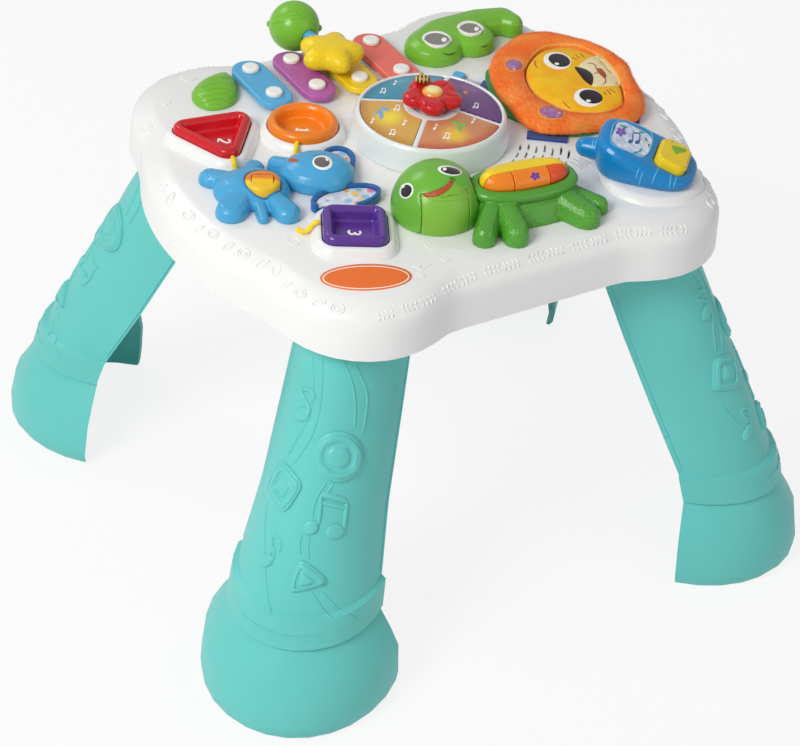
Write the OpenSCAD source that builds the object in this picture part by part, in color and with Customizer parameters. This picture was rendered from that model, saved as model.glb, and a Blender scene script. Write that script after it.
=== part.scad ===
// Musical activity table for a small child: a lobed play deck on four splayed half-shell legs.

/* [Table top] */
// Height of the flat deck above the floor
deck_z = 309; // [290:1:330]
// Depth of the housing from the deck down to the rim of its skirt
skirt_h = 40; // [36:1:50]
// Distance of each corner lobe's centre from the middle, along X and along Y
lobe_at = 113.3; // [110:0.1:118]
// Radius of the corner lobes
lobe_r = 62.7; // [58:0.1:66]
// Radius of the bulging left and right sides
bulge_r = 206; // [200:0.1:210]
// Distance of the straight front and back sides from the middle
side_y = 165; // [160:0.1:168]
// Width of the rounded shoulder around the deck
border_w = 19.5; // [18:0.5:22]
// Drop of the rounded shoulder
border_drop = 9; // [7:0.5:11]
// Wall thickness of the housing shells
wall = 2.6; // [2:0.1:3]

/* [Legs] */
// Direction of each leg from the X axis, in degrees
leg_turn = 43.2; // [41:0.1:46]
// Distance of a leg's open face from the middle, at the floor
leg_out_floor = 238.5; // [230:0.5:244]
// The same distance at the ankle
leg_out_ankle = 233; // [226:0.5:238]
// The same distance at the rim of the housing
leg_out_top = 137.5; // [134:0.5:140]
// Half width of a leg at the rim of the housing
leg_half_top = 39.5; // [38:0.5:41]
// Half width of a leg at the ankle
leg_half_ankle = 52.5; // [48:0.5:55]
// Half width of the foot
foot_half = 73; // [68:0.5:76]
// Depth of a leg at the rim of the housing
leg_deep_top = 66; // [62:0.5:67]
// Depth of a leg at the ankle
leg_deep_ankle = 59; // [56:0.5:66]
// Depth of the foot
foot_deep = 85; // [78:0.5:88]
// Wall thickness of a leg
leg_wall = 3; // [2.6:0.1:3.4]
// Height of the top edge of the ankle band
band_z = 92; // [86:1:98]
// How far the ankle band stands proud
band_proud = 4; // [3:0.5:5]

/* [Light dome] */
// Middle of the dome, from the middle of the deck
dome_at = [10, 8];
// White rim of the dome around the windows
dome_lip = 7; // [6:0.5:9]
// Height of the rim of the windows above the deck
dome_h = 21; // [18:0.5:24]
// Rise of the windows from the rim to the hub
window_rise = 6; // [4:0.5:8]
// Outer radius of the windows
window_r = 52; // [50:0.5:53]
// Radius of the hub under the flower
hub_r = 17; // [16:0.5:19]
// Width of the white bars between the windows
divider_w = 4; // [3:0.5:5]
// Number of flower petals
petals = 5; // [5:1:6]
// Radius of one petal
petal_r = 9.5; // [9:0.1:10]
// Distance of the petals from the middle of the flower
petal_at = 13; // [12:0.1:14]
// Travel of the flower button
flower_travel = 2.5; // [2:0.5:3]

/* [Shape buttons] */
// Middle of the round button
round_at = [-75, 47];
// Middle of the triangular button
triangle_at = [-138, 61];
// Middle of the square button
square_at = [-105.5, -85.5];
// Height of a button's crest above the deck
crest_h = 13; // [12:0.5:15]
// Height of the white seats above the deck
seat_h = 7; // [6:0.5:8]
// Radius of the round button
round_r = 26; // [24:0.5:27]
// Distance of the triangle's corner arcs from its middle
triangle_corner = 23; // [21:0.5:24]
// Radius of the triangle's corner arcs
triangle_round = 9.5; // [9:0.5:10.5]
// Distance of the square's corner arcs from its middle
square_corner = 19.5; // [18:0.5:21]
// Radius of the square's corner arcs
square_round = 9; // [8.5:0.5:10]
// Width of a button's rounded crest
crest_w = 7.5; // [7:0.5:8]
// Depth of the bowl in a button
bowl_deep = 10; // [8:0.5:11]
// Running gap around a button
button_gap = 0.7; // [0.6:0.1:0.9]
// Travel of a shape button
button_travel = 3; // [2:0.5:3]

/* [Xylophone] */
// Middle of the first bar
bar_first_x = -74.3; // [-75:0.1:-73]
// Distance from one bar to the next
bar_pitch = 34.8; // [34:0.1:36]
// Width of a bar
bar_w = 27; // [25:0.5:28]
// Thickness of a bar
bar_t = 5; // [4:0.5:6]
// Distance of the back pins from the middle of the deck
pin_back_y = 131.5; // [129:0.5:132]
// Distance between the two pins of the shortest bar
pin_span = 38; // [36:0.5:40]
// How much longer each next bar is
bar_step = 3; // [2:0.5:3.5]
// Length of a bar beyond its pins
bar_end = 15; // [14:0.5:16.5]
// Radius of a pin's head
pin_head_r = 6.4; // [6:0.1:7]
// Radius of a pin's shank
pin_r = 3; // [2.6:0.1:3.2]
// Height of a pin's head
pin_head_h = 3.6; // [3:0.1:4]
// Height of the bed under the bars
bed_h = 3; // [2.5:0.5:4]

/* [Mallet] */
// Radius of the mallet's ball
ball_r = 19.5; // [18:0.5:20]
// Outer radius of the star
star_r = 26; // [25:0.5:27]
// Thickness of the star
star_t = 19; // [17:0.5:20]
// Radius of the handle between them
handle_r = 5; // [4:0.5:6]

/* [Turtle] */
// Radius of the turtle's head
turtle_head_r = 32; // [30:0.5:33]
// Half length of the shell
shell_half_l = 37; // [34:0.5:40]
// Half width of the shell
shell_half_w = 18; // [16:0.5:20]
// Height of the shell's rim above the deck
shell_rim_h = 22; // [19:0.5:24]
// Height of the keys' crown above the rim
key_crown = 10; // [8:0.5:12]
// Gap around each key
key_gap = 0.6; // [0.5:0.1:0.8]
// Travel of a key at its free edge
key_travel = 2; // [1.5:0.5:2.5]

/* [Phone] */
// Middle of the phone
phone_at = [124.5, -105.5];
// Length of the phone
phone_l = 74; // [70:1:78]
// Width of the phone
phone_w = 54; // [50:1:56]
// Height of the middle of the phone's face above the deck
phone_h = 24.5; // [23:0.5:27]
// Slope of the phone's face in degrees
phone_tilt = 18; // [14:1:20]
// Height of the white cradle under the phone
cradle_h = 5; // [4:0.5:6]
// Travel of the phone's button
call_travel = 2.5; // [2:0.5:3]

/* [Soft lion] */
// Middle of the soft pad
lion_at = [134, 20];
// Half length of the pad along X
lion_half_x = 58; // [55:0.5:60]
// Half length of the pad along Y
lion_half_y = 63; // [60:0.5:65]
// Thickness of the pad in its middle
lion_t = 13; // [11:0.5:15]

/* [Hidden] */
dome_r = window_r + dome_lip;

big_fn = 96;
mid_fn = 48;
small_fn = 24;
seat_gap = 0.3;
rim_z = deck_z - skirt_h;
under_z = deck_z - wall;
pan_z = rim_z + 3;
pan_t = 2.6;
pan_top = pan_z + pan_t;
teal = "#5cc4bb";
amber = "#e8a23a";

// A closed body through a stack of rings, each a list of points seen anticlockwise from above.
// Its two ends close on their middle points, or strip by strip where the ring is a thin open shell.
module loft(rings, thin = false) {
    n = len(rings[0]);
    m = len(rings);
    points = concat([for (ring = rings) for (p = ring) p],
        [for (ring = [rings[0], rings[m - 1]]) [for (k = [0:2]) [for (p = ring) p[k]] * [for (p = ring) 1] / n]]);
    sides = [for (k = [0:m - 2]) for (i = [0:n - 1]) let (j = (i + 1) % n)
        each [[k * n + i, (k + 1) * n + i, (k + 1) * n + j], [k * n + i, (k + 1) * n + j, k * n + j]]];
    middles = [for (i = [0:n - 1]) let (j = (i + 1) % n) each [[m * n, i, j], [m * n + 1, (m - 1) * n + j, (m - 1) * n + i]]];
    strips = [for (k = [0, (m - 1) * n]) for (i = [0:n / 2 - 2]) let (a = [k + i, k + i + 1, k + n - 2 - i, k + n - 1 - i])
        k == 0 ? a : [a[3], a[2], a[1], a[0]]];
    polyhedron(points = points, faces = concat(sides, thin ? strips : middles), convexity = 8);
}

function at_height(flat, z) = [for (p = flat) [p[0], p[1], z]];
function place(flat, at, turn) = [for (p = flat)
    [at[0] + p[0] * cos(turn) - p[1] * sin(turn), at[1] + p[0] * sin(turn) + p[1] * cos(turn)]];
function oval(a, b, n) = [for (i = [0:n - 1]) [a * cos(360 * i / n), b * sin(360 * i / n)]];
// A squarish oval: power 2 is an ellipse, a higher power is nearer to a rectangle.
function soft_box(a, b, power, n) = [for (i = [0:n - 1])
    let (c = cos(360 * i / n), s = sin(360 * i / n), k = pow(pow(abs(c), power) + pow(abs(s), power), -1 / power))
    [a * k * c, b * k * s]];
// Outline of a polygon with round corners: corner arcs of radius r at distance d from the middle.
// Below the least corner radius the arcs move inwards, so the straight sides keep their inset.
least_r = 1.5;
function round_polygon(sides, d, r, steps) = let (arc = max(r, least_r), at = d - (arc - r) / cos(180 / sides))
    [for (k = [0:sides - 1]) for (i = [0:steps])
        let (mid = 360 * k / sides, a = mid - 180 / sides + 360 / sides * i / steps)
        [at * cos(mid) + arc * cos(a), at * sin(mid) + arc * sin(a)]];
// A value between listed knots [[x, y], ...], on straight lines.
function between(x, knots) = lookup(x, knots);

// ---- housing outline ----
blend = 40;
lobe_far = lobe_at * sqrt(2);
function fold(a) = atan2(abs(sin(a)), abs(cos(a)));
function body_radius(q) = pow(pow(bulge_r, -blend) + pow(side_y / max(sin(q), 0.01), -blend), -1 / blend);
function lobe_radius(q) = let (s = lobe_far * sin(q - 45))
    lobe_far * cos(q - 45) + sqrt(max(pow(lobe_r, 2) - s * s, 0));
function rim_radius(a) = let (q = fold(a), b = body_radius(q))
    b * pow(1 + pow(lobe_radius(q) / b, blend), 1 / blend);
rim_steps = 120;
function rim_ring(inset, z) = [for (i = [0:rim_steps - 1]) let (a = 360 * i / rim_steps, r = rim_radius(a) - inset)
    [r * cos(a), r * sin(a), z]];

border_z = deck_z - border_drop;
// Profile of the housing as [inset from the rim, height]: down the inside to the rim, then up the outside to the deck.
shell_profile = [[border_w + 1.2, under_z], [border_w - 2, under_z - 1.1], [12.6, border_z + 3.2], [9.2, border_z + 0.8],
    [6.6, border_z - 2.4], [4.8, border_z - 5], [wall + 1, rim_z + 23], [wall, rim_z + 0.5], [0, rim_z], [1, rim_z + 23],
    [1.8, border_z - 3.6], [3.5, border_z], [6.5, border_z + 3.2], [11, border_z + 5.9], [16, border_z + 8], [border_w, deck_z]];

// ---- shape buttons ----
button_top = deck_z + crest_h;
seat_top = deck_z + seat_h;
bowl_z = button_top - bowl_deep;
guide_low = under_z - 3;
guide_wall = 2;
flange = 1.8;
skirt_low = guide_low - seat_gap - 2;
// Profile of a shape button as [inset from its outline, height], from the underside of the bowl round to the bowl.
function button_profile() = let (t = 2) [
    [crest_w + 2, bowl_z - t], [3, bowl_z - t], [2, bowl_z - t - 1], [2, skirt_low], [-flange, skirt_low],
    [-flange, skirt_low + 2], [0, skirt_low + 2], [0, button_top - 5], [0.7, button_top - 2.2], [2.2, button_top - 0.6],
    [4, button_top], [5.8, button_top - 0.6], [crest_w, button_top - 3], [crest_w + 1.2, bowl_z + 1],
    [crest_w + 2.4, bowl_z]];
triangle_turn = -98;
square_turn = 18;
module polygon_button(sides, d, r, at, turn) {
    loft([for (k = button_profile()) at_height(place(round_polygon(sides, d, r - k[0], 6), at, turn), k[1])]);
}
module round_cut(sides, d, r, at, turn, z0, z1) {
    translate([at[0], at[1], z0]) rotate([0, 0, turn])
        linear_extrude(z1 - z0) polygon(round_polygon(sides, d, r, 6));
}
module polygon_seat(sides, d, r, at, turn) {
    w = 6;
    loft([for (k = [[w + 2, deck_z - 1], [w + 1.4, deck_z + 1], [w - 1, seat_top - 2], [w - 2.4, seat_top - 0.5], [w - 4, seat_top]])
        at_height(place(round_polygon(sides, d, r + k[0], 6), at, turn), k[1])]);
}

// Tubes under the deck that guide the shape buttons and stop their flanges.
module guides() {
    round_cut(3, triangle_corner, triangle_round + button_gap + guide_wall, triangle_at, triangle_turn, guide_low, under_z + 1);
    round_cut(4, square_corner, square_round + button_gap + guide_wall, square_at, square_turn, guide_low, under_z + 1);
    translate([round_at[0], round_at[1], guide_low])
        cylinder(h = under_z + 1 - guide_low, r = round_r + button_gap + guide_wall, $fn = big_fn);
}

// ---- top shell ----
speaker_rows = 7;
speaker_first_r = 68;
speaker_pitch = 6;
speaker_mid = -48;
slot_half = 3.6;
slot_w = 1.6;
module slot_arc(r, a, half, w, z0, h) {
    translate([dome_at[0], dome_at[1], z0]) rotate([0, 0, a - half])
        rotate_extrude(angle = 2 * half, $fn = big_fn) translate([r - w / 2, 0]) square([w, h]);
}
module speaker_slots() {
    for (k = [0:speaker_rows - 1])
        for (i = [-1:1])
            slot_arc(speaker_first_r + k * speaker_pitch, speaker_mid + i * 9 + (k % 2) * 2, slot_half, slot_w, under_z - 1, wall + 2);
}
bed_r = 8;
bar_z = deck_z + bed_h;
function pin_front_y(k) = pin_back_y - pin_span - k * bar_step;
module rounded_plate(x0, x1, y0, y1, r, z0, z1) {
    for (x = [x0 + r, x1 - r])
        for (y = [y0 + r, y1 - r])
            translate([x, y, z0]) cylinder(h = z1 - z0, r = r, $fn = small_fn);
    translate([x0 + r, y0, z0]) cube([x1 - x0 - 2 * r, y1 - y0, z1 - z0]);
    translate([x0, y0 + r, z0]) cube([x1 - x0, y1 - y0 - 2 * r, z1 - z0]);
}
cradle_at = [128, -110];
cradle_r = 38.5;
module cradle() {
    translate([cradle_at[0], cradle_at[1], 0]) rotate_extrude($fn = big_fn)
        polygon([[0, deck_z - 1], [cradle_r, deck_z - 1], [cradle_r - 1, deck_z + 1], [cradle_r - 5, deck_z + cradle_h - 0.6],
            [cradle_r - 7.5, deck_z + cradle_h], [0, deck_z + cradle_h]]);
}
round_seat_r = round_r + 4.5;
module round_seat() {
    translate([round_at[0], round_at[1], 0]) rotate_extrude($fn = big_fn)
        polygon([[0, deck_z - 1], [round_seat_r + 2, deck_z - 1], [round_seat_r + 1.6, deck_z + 1],
            [round_seat_r - 0.6, seat_top - 2], [round_seat_r - 2, seat_top - 0.4], [round_seat_r - 3.4, seat_top], [0, seat_top]]);
}
switch_at = [79, 62];
switch_turn = -52;
switch_l = 30;
switch_w = 9;
module switch_cut(extra, z0, z1) {
    l = switch_l + 2 * extra;
    w = switch_w + 2 * extra;
    translate([switch_at[0], switch_at[1], 0]) rotate([0, 0, switch_turn])
        rounded_plate(-l / 2, l / 2, -w / 2, w / 2, w / 2 - 0.01, z0, z1);
}
boss_spots = [[-150, 0], [150, 0], [-52, -140], [52, -140], [-52, 141], [52, 141]];
boss_r = 4.5;
screw_r = 1.5;
dome_hole_r = 30;
module top_shell() {
    color("#f4f3f0") difference() {
        union() {
            loft([for (k = shell_profile) rim_ring(k[0], k[1])]);
            guides();
            cradle();
            round_seat();
            polygon_seat(3, triangle_corner, triangle_round, triangle_at, triangle_turn);
            polygon_seat(4, square_corner, square_round, square_at, square_turn);
            for (k = [0:3])
                for (y = [pin_back_y, pin_front_y(k)])
                    translate([bar_first_x + k * bar_pitch, y, deck_z - 1]) cylinder(h = bed_h + 1, r = bed_r, $fn = mid_fn);
            for (p = boss_spots)
                translate([p[0], p[1], pan_top]) cylinder(h = under_z - pan_top + 0.5, r = boss_r, $fn = small_fn);
        }
        translate([round_at[0], round_at[1], guide_low - 1])
            cylinder(h = seat_top - guide_low + 4, r = round_r + button_gap, $fn = big_fn);
        round_cut(3, triangle_corner, triangle_round + button_gap, triangle_at, triangle_turn, guide_low - 1, seat_top + 1);
        round_cut(4, square_corner, square_round + button_gap, square_at, square_turn, guide_low - 1, seat_top + 1);
        translate([dome_at[0], dome_at[1], under_z - 1]) cylinder(h = wall + 2, r = dome_hole_r, $fn = big_fn);
        speaker_slots();
        switch_cut(0.2, under_z - 1, deck_z + 1);
        for (k = [0:3])
            for (y = [pin_back_y, pin_front_y(k)])
                translate([bar_first_x + k * bar_pitch, y, under_z - 2]) cylinder(h = bed_h + wall + 4, r = pin_r + 0.05, $fn = small_fn);
        for (p = boss_spots)
            translate([p[0], p[1], pan_top - 1]) cylinder(h = 14, r = screw_r, $fn = small_fn);
    }
}

// ---- legs ----
ankle_z = band_z - 22;
leg_top_z = rim_z + 26;
leg_steps = 14;
web_z = 78;
web_t = 2.4;
function leg_out(z) = between(z, [[0, leg_out_floor], [ankle_z + 10, leg_out_ankle], [140, leg_out_ankle - 33],
    [200, leg_out_ankle - 63], [rim_z, leg_out_top], [leg_top_z, leg_out_top - 4]]);
function leg_half(z) = between(z, [[0, foot_half - 4], [5, foot_half - 1], [14, foot_half], [38, foot_half - 2], [52, foot_half - 9],
    [ankle_z - 4, leg_half_ankle + 3], [ankle_z - 1, leg_half_ankle + 1], [ankle_z, leg_half_ankle + band_proud],
    [band_z - 2, leg_half_ankle + band_proud - 1], [band_z, leg_half_ankle - 0.5], [140, leg_half_ankle - 6.5],
    [rim_z, leg_half_top], [leg_top_z, leg_half_top - 1]]);
function leg_deep(z) = between(z, [[0, foot_deep - 5], [5, foot_deep - 1], [14, foot_deep], [38, foot_deep - 3], [52, foot_deep - 11],
    [ankle_z - 4, leg_deep_ankle + 9], [ankle_z - 1, leg_deep_ankle + 7], [ankle_z, leg_deep_ankle + 6 + band_proud],
    [band_z - 2, leg_deep_ankle + 5 + band_proud], [band_z, leg_deep_ankle + 5], [140, leg_deep_ankle + 9],
    [rim_z, leg_deep_top], [leg_top_z, leg_deep_top - 2]]);
leg_levels = [0, 5, 14, 38, 52, ankle_z - 4, ankle_z - 1, ankle_z, band_z - 2, band_z, 116, 140, 170, 200, 235, rim_z, leg_top_z];
function leg_arc(z, inset) = [for (i = [0:leg_steps]) let (a = -90 + 180 * i / leg_steps)
    [leg_out(z) + (leg_deep(z) - inset) * cos(a), (leg_half(z) - inset) * sin(a), z]];
// The open edge of a leg is chamfered on the inside.
function leg_ring(z) = let (outer = leg_arc(z, 0), inner = leg_arc(z, leg_wall))
    concat(outer, [for (i = [leg_steps:-1:0]) [inner[i][0] + 1.2 * (1 - cos(90 - 180 * i / leg_steps)), inner[i][1], z]]);
// Outline of a stiffening web, set back from the open face and let into the middle of the wall.
function web_ring(z) = [for (i = [0:leg_steps - 1]) let (a = -80 + 160 * i / (leg_steps - 1))
    [leg_out(z) + (leg_deep(z) - leg_wall / 2) * cos(a), (leg_half(z) - leg_wall / 2) * sin(a), z]];
module leg_web(z, t) {
    loft([web_ring(z), web_ring(z + t)]);
}
module leg(turn) {
    color(teal) rotate([0, 0, turn]) {
        loft([for (z = leg_levels) leg_ring(z)], thin = true);
        leg_web(web_z, web_t);
        leg_web(leg_top_z - 3.5, 3);
    }
}
module front_left_leg() leg(180 + leg_turn);
module front_right_leg() leg(-leg_turn);
module back_right_leg() leg(leg_turn);
module back_left_leg() leg(180 - leg_turn);

// ---- bottom shell and what it carries ----
socket_gap = 0.4;
socket_wall = 2.4;
door_at = [0, -20];
door_l = 88;
door_w = 62;
door_t = 2.4;
bay_h = 18;
function socket_arc(z, grow) = let (lip = grow) concat(
    [for (i = [0:leg_steps]) let (a = -90 + 180 * i / leg_steps)
        [leg_out(z) - 0.01 + (leg_deep(z) + grow) * cos(a) , (leg_half(z) + grow) * sin(a), z]],
    [[leg_out(z) - lip, leg_half(z) + grow, z], [leg_out(z) - lip, -leg_half(z) - grow, z]]);
module bottom_shell() {
    color("#ecebe8") difference() {
        union() {
            loft([rim_ring(wall + 0.9, pan_z), rim_ring(wall + 0.9, pan_top)]);
            for (turn = [leg_turn, 180 - leg_turn, 180 + leg_turn, -leg_turn])
                rotate([0, 0, turn]) loft([socket_arc(pan_z, socket_gap + socket_wall), socket_arc(leg_top_z - 6, socket_gap + socket_wall)]);
            translate([door_at[0] - door_l / 2 - 3, door_at[1] - door_w / 2 - 3, pan_z])
                cube([door_l + 6, door_w + 6, bay_h]);
        }
        for (turn = [leg_turn, 180 - leg_turn, 180 + leg_turn, -leg_turn])
            rotate([0, 0, turn]) loft([socket_arc(pan_z - 2, socket_gap), socket_arc(leg_top_z - 5, socket_gap)]);
        translate([door_at[0] - door_l / 2, door_at[1] - door_w / 2, pan_z - 1])
            cube([door_l, door_w, bay_h - 1.4]);
        for (p = boss_spots)
            translate([p[0], p[1], pan_z - 1]) cylinder(h = pan_t + 2, r = screw_r + 0.2, $fn = small_fn);
    }
}
module battery_door() {
    color("#e4e3df") difference() {
        translate([door_at[0] - door_l / 2 + 0.3, door_at[1] - door_w / 2 + 0.3, pan_z])
            cube([door_l - 0.6, door_w - 0.6, door_t]);
        translate([door_at[0], door_at[1] - door_w / 2 + 7, pan_z - 1]) cylinder(h = door_t + 2, r = screw_r + 0.2, $fn = small_fn);
        for (x = [-24:8:24])
            translate([door_at[0] + x - 1.5, door_at[1] + door_w / 2 - 14, pan_z - 1]) cube([3, 8, 1.8]);
    }
}
module pan_screw(at, z, l) {
    translate([at[0], at[1], z - 2]) cylinder(h = 2, r = 3, $fn = small_fn);
    translate([at[0], at[1], z]) cylinder(h = l, r = screw_r - 0.05, $fn = small_fn);
}
module door_screw() {
    color("silver") pan_screw([door_at[0], door_at[1] - door_w / 2 + 7], pan_z, door_t + 6);
}
module housing_screws() {
    color("silver") for (p = boss_spots) pan_screw(p, pan_z, pan_t + 9);
}
speaker_at = [dome_at[0] + (speaker_first_r + 18) * cos(speaker_mid), dome_at[1] + (speaker_first_r + 18) * sin(speaker_mid)];
module speaker() {
    color("#3a3a3c") translate([speaker_at[0], speaker_at[1], 0]) rotate_extrude($fn = mid_fn)
        polygon([[0, under_z - 6], [3, under_z - 6], [16, under_z - 1.6], [17, under_z], [20, under_z], [20, under_z - 2.4],
            [17, under_z - 3.4], [9, under_z - 9], [9, under_z - 14], [0, under_z - 14]]);
}

// ---- light dome ----
rim_top = deck_z + dome_h;
hub_top = rim_top + window_rise;
function cone_z(r) = rim_top - 1.6 + (window_r - r) * (window_rise / (window_r - hub_r));
module at_dome() {
    translate([dome_at[0], dome_at[1], 0]) children();
}
window_gap = 0.25;
divider_turn = 46;
module window_mask(k, gap) {
    rotate([0, 0, divider_turn + 90 * k]) difference() {
        intersection() {
            circle(r = window_r - gap, $fn = big_fn);
            translate([divider_w / 2 + gap, divider_w / 2 + gap]) square([window_r, window_r]);
        }
        circle(r = hub_r + 4 + gap, $fn = mid_fn);
    }
}
module window_band(top, t) {
    rotate_extrude($fn = big_fn) polygon([[hub_r - 2, cone_z(hub_r - 2) + top - t], [window_r + 1, cone_z(window_r + 1) + top - t],
        [window_r + 1, cone_z(window_r + 1) + top], [hub_r - 2, cone_z(hub_r - 2) + top]]);
}
window_lip = 1.4;
module dome_body() {
    color("#f1f2f4") at_dome() difference() {
        union() {
            rotate_extrude($fn = big_fn) polygon([[dome_r - 3, deck_z], [dome_r, deck_z], [dome_r + 0.3, deck_z + 4],
                [dome_r - 1, deck_z + 11], [dome_r - 3, rim_top - 3], [dome_r - 4.4, rim_top - 0.8], [dome_r - 6, rim_top],
                [window_r, rim_top - 1.6], [window_r, cone_z(window_r) - 4], [dome_r - 5.6, deck_z + 10]]);
            difference() {
                window_band(0, 4);
                for (k = [0:3]) translate([0, 0, deck_z]) linear_extrude(60) window_mask(k, window_lip);
            }
            translate([0, 0, hub_top - 8]) cylinder(h = 5, r = hub_r, $fn = mid_fn);
        }
        for (k = [0:3])
            intersection() {
                window_band(1, 3);
                translate([0, 0, deck_z]) linear_extrude(60) window_mask(k, 0);
            }
        translate([0, 0, hub_top - 12]) cylinder(h = 20, r = 8.4, $fn = mid_fn);
    }
}
module window(k) {
    at_dome() intersection() {
        window_band(0.4, 2.2);
        translate([0, 0, deck_z]) linear_extrude(60) window_mask(k, window_gap);
    }
}
module window_teal() color("#3fa7b8") window(0);
module window_amber() color(amber) window(1);
module window_red() color("#d8653f") window(2);
module window_purple() color("#7b3f98") window(3);

flower_low = hub_top + flower_travel - 1.2;
flower_h = 9;
flower_turn = 240;
// Outline of the flower: one round arc for each petal.
function flower_outline(inset) = [for (i = [0:petals * 12 - 1])
    let (a = 360 * i / (petals * 12), off = a - round(a / (360 / petals)) * 360 / petals,
        r = petal_at * cos(off) + sqrt(pow(petal_r, 2) - pow(petal_at * sin(off), 2)) - inset)
    [r * cos(a), r * sin(a)]];
flower_rings = [[2.5, 0.6], [0, 1.8], [0, flower_h - 4], [1, flower_h - 1.8], [3, flower_h - 0.5], [5.4, flower_h]];
module flower_button() {
    color("#d9343c") at_dome() {
        loft(concat([for (k = flower_rings) at_height(place(flower_outline(k[0]), [0, 0], flower_turn), flower_low + k[1])],
            [for (k = [[8.2, flower_h - 0.6], [8.2, flower_h - 4]])
                at_height(place(oval(k[0], k[0], petals * 12), [0, 0], flower_turn), flower_low + k[1])]));
        translate([0, 0, hub_top - 11]) cylinder(h = 14.5, r = 7.9, $fn = mid_fn);
    }
}
module flower_centre() {
    color("#f3c23b") at_dome() rotate_extrude($fn = mid_fn) polygon([[0, flower_low + flower_h - 4], [8, flower_low + flower_h - 4],
        [8, flower_low + flower_h - 0.6], [7, flower_low + flower_h + 0.8], [4, flower_low + flower_h + 2], [0, flower_low + flower_h + 2.4]]);
}
bee_turn = flower_turn + 216;
module bee() {
    color("#c99a35") at_dome() rotate([0, 0, bee_turn]) translate([petal_at, 0, flower_low + flower_h + 3.1]) rotate([0, 0, 60]) {
        loft([for (k = [[-0.96, 0.3], [-0.6, 0.8], [0, 1], [0.6, 0.8], [0.96, 0.3]])
            at_height(oval(6.2 * k[1], 3.8 * k[1], 16), 3.2 * k[0])]);
    }
}

// ---- shape buttons ----
module round_button() {
    color("#f58a1f") translate([round_at[0], round_at[1], 0]) rotate_extrude($fn = big_fn)
        polygon(concat([[0, bowl_z - 2]], [for (k = button_profile()) [round_r - k[0], k[1]]], [[0, bowl_z]]));
}
module triangle_button() color("#d3202c") polygon_button(3, triangle_corner, triangle_round, triangle_at, triangle_turn);
module square_button() color("#6b3aa0") polygon_button(4, square_corner, square_round, square_at, square_turn);

// ---- xylophone ----
module bar(k) {
    x = bar_first_x + k * bar_pitch;
    half = bar_w / 2;
    low = pin_front_y(k) - bar_end + half;
    high = pin_back_y + bar_end - half;
    difference() {
        union() {
            for (y = [low, high]) translate([x, y, bar_z]) {
                cylinder(h = bar_t - 0.8, r = half, $fn = mid_fn);
                cylinder(h = bar_t, r = half - 0.8, $fn = mid_fn);
            }
            translate([x - half, low, bar_z]) cube([bar_w, high - low, bar_t - 0.8]);
            translate([x - half + 0.8, low, bar_z]) cube([bar_w - 1.6, high - low, bar_t]);
        }
        for (y = [pin_back_y, pin_front_y(k)])
            translate([x, y, bar_z - 1]) cylinder(h = bar_t + 2, r = pin_r + 0.05, $fn = small_fn);
    }
}
module bar_blue() color("#4db3e0") bar(0);
module bar_purple() color("#a53d99") bar(1);
module bar_yellow() color("#f3c431") bar(2);
module bar_red() color("#ee5a50") bar(3);
bar_top = bar_z + bar_t;
pin_top = bar_top + pin_head_h;
module bar_pins() {
    color("#fbfaf7") for (k = [0:3])
        for (y = [pin_back_y, pin_front_y(k)])
            translate([bar_first_x + k * bar_pitch, y, 0]) rotate_extrude($fn = small_fn)
                polygon([[0, under_z - 1], [pin_r, under_z - 1], [pin_r, bar_top], [pin_head_r, bar_top],
                    [pin_head_r, pin_top - 0.8], [pin_head_r - 1.4, pin_top], [0, pin_top]]);
}

// ---- mallet lying on the bars ----
star_at = [-17, 111.5, pin_top + star_t / 2 - 0.9];
ball_at = [-23, 158.5, star_at[2]];
star_turn = 50;
module mallet_ball() {
    color("#6bbf2b") difference() {
        translate(ball_at) sphere(r = ball_r, $fn = mid_fn);
        mallet_rod(handle_r + 0.05, 12, 30);
    }
}
module mallet_rod(r, start, stop) {
    d = star_at - ball_at;
    translate(ball_at) rotate([0, 0, atan2(d[1], d[0])]) rotate([0, 90, 0]) translate([0, 0, start]) cylinder(h = stop - start, r = r, $fn = small_fn);
}
rod_stop = 36;
module mallet_handle() {
    color("#69b7e6") mallet_rod(handle_r, 12, rod_stop);
}
function star_outline(s) = [for (i = [0:39]) let (a = 360 * i / 40, r = s * star_r * (0.86 + 0.14 * cos(5 * a))) [r * cos(a), r * sin(a)]];
module mallet_star() {
    color("#f5d228") difference() {
        loft([for (a = [-84, -60, -35, -12, 12, 35, 60, 84])
            at_height(place(star_outline(pow(cos(a), 0.55)), star_at, star_turn), star_at[2] + star_t / 2 * sin(a) / sin(84))]);
        mallet_rod(handle_r + 0.05, 15, rod_stop + 0.2);
    }
}

// ---- turtle ----
turtle_at = [21, -101];
turtle_turn = -7;
turtle_head_at = [-39, -83];
rim_h = deck_z + shell_rim_h;
key_low = rim_h + 1.4;
module in_turtle() {
    translate([turtle_at[0], turtle_at[1], 0]) rotate([0, 0, turtle_turn]) children();
}
function shell_ring(grow, z) = at_height(soft_box(shell_half_l + grow, shell_half_w + grow, 2.4, 40), z);
// A leg that slopes down from under the rim at a to the toes at b.
module foot(a, b, ra, rb, h) {
    hull() {
        translate([a[0], a[1], deck_z]) pebble(ra, h);
        translate([b[0], b[1], deck_z]) pebble(rb, h * 0.74);
    }
}
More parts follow.
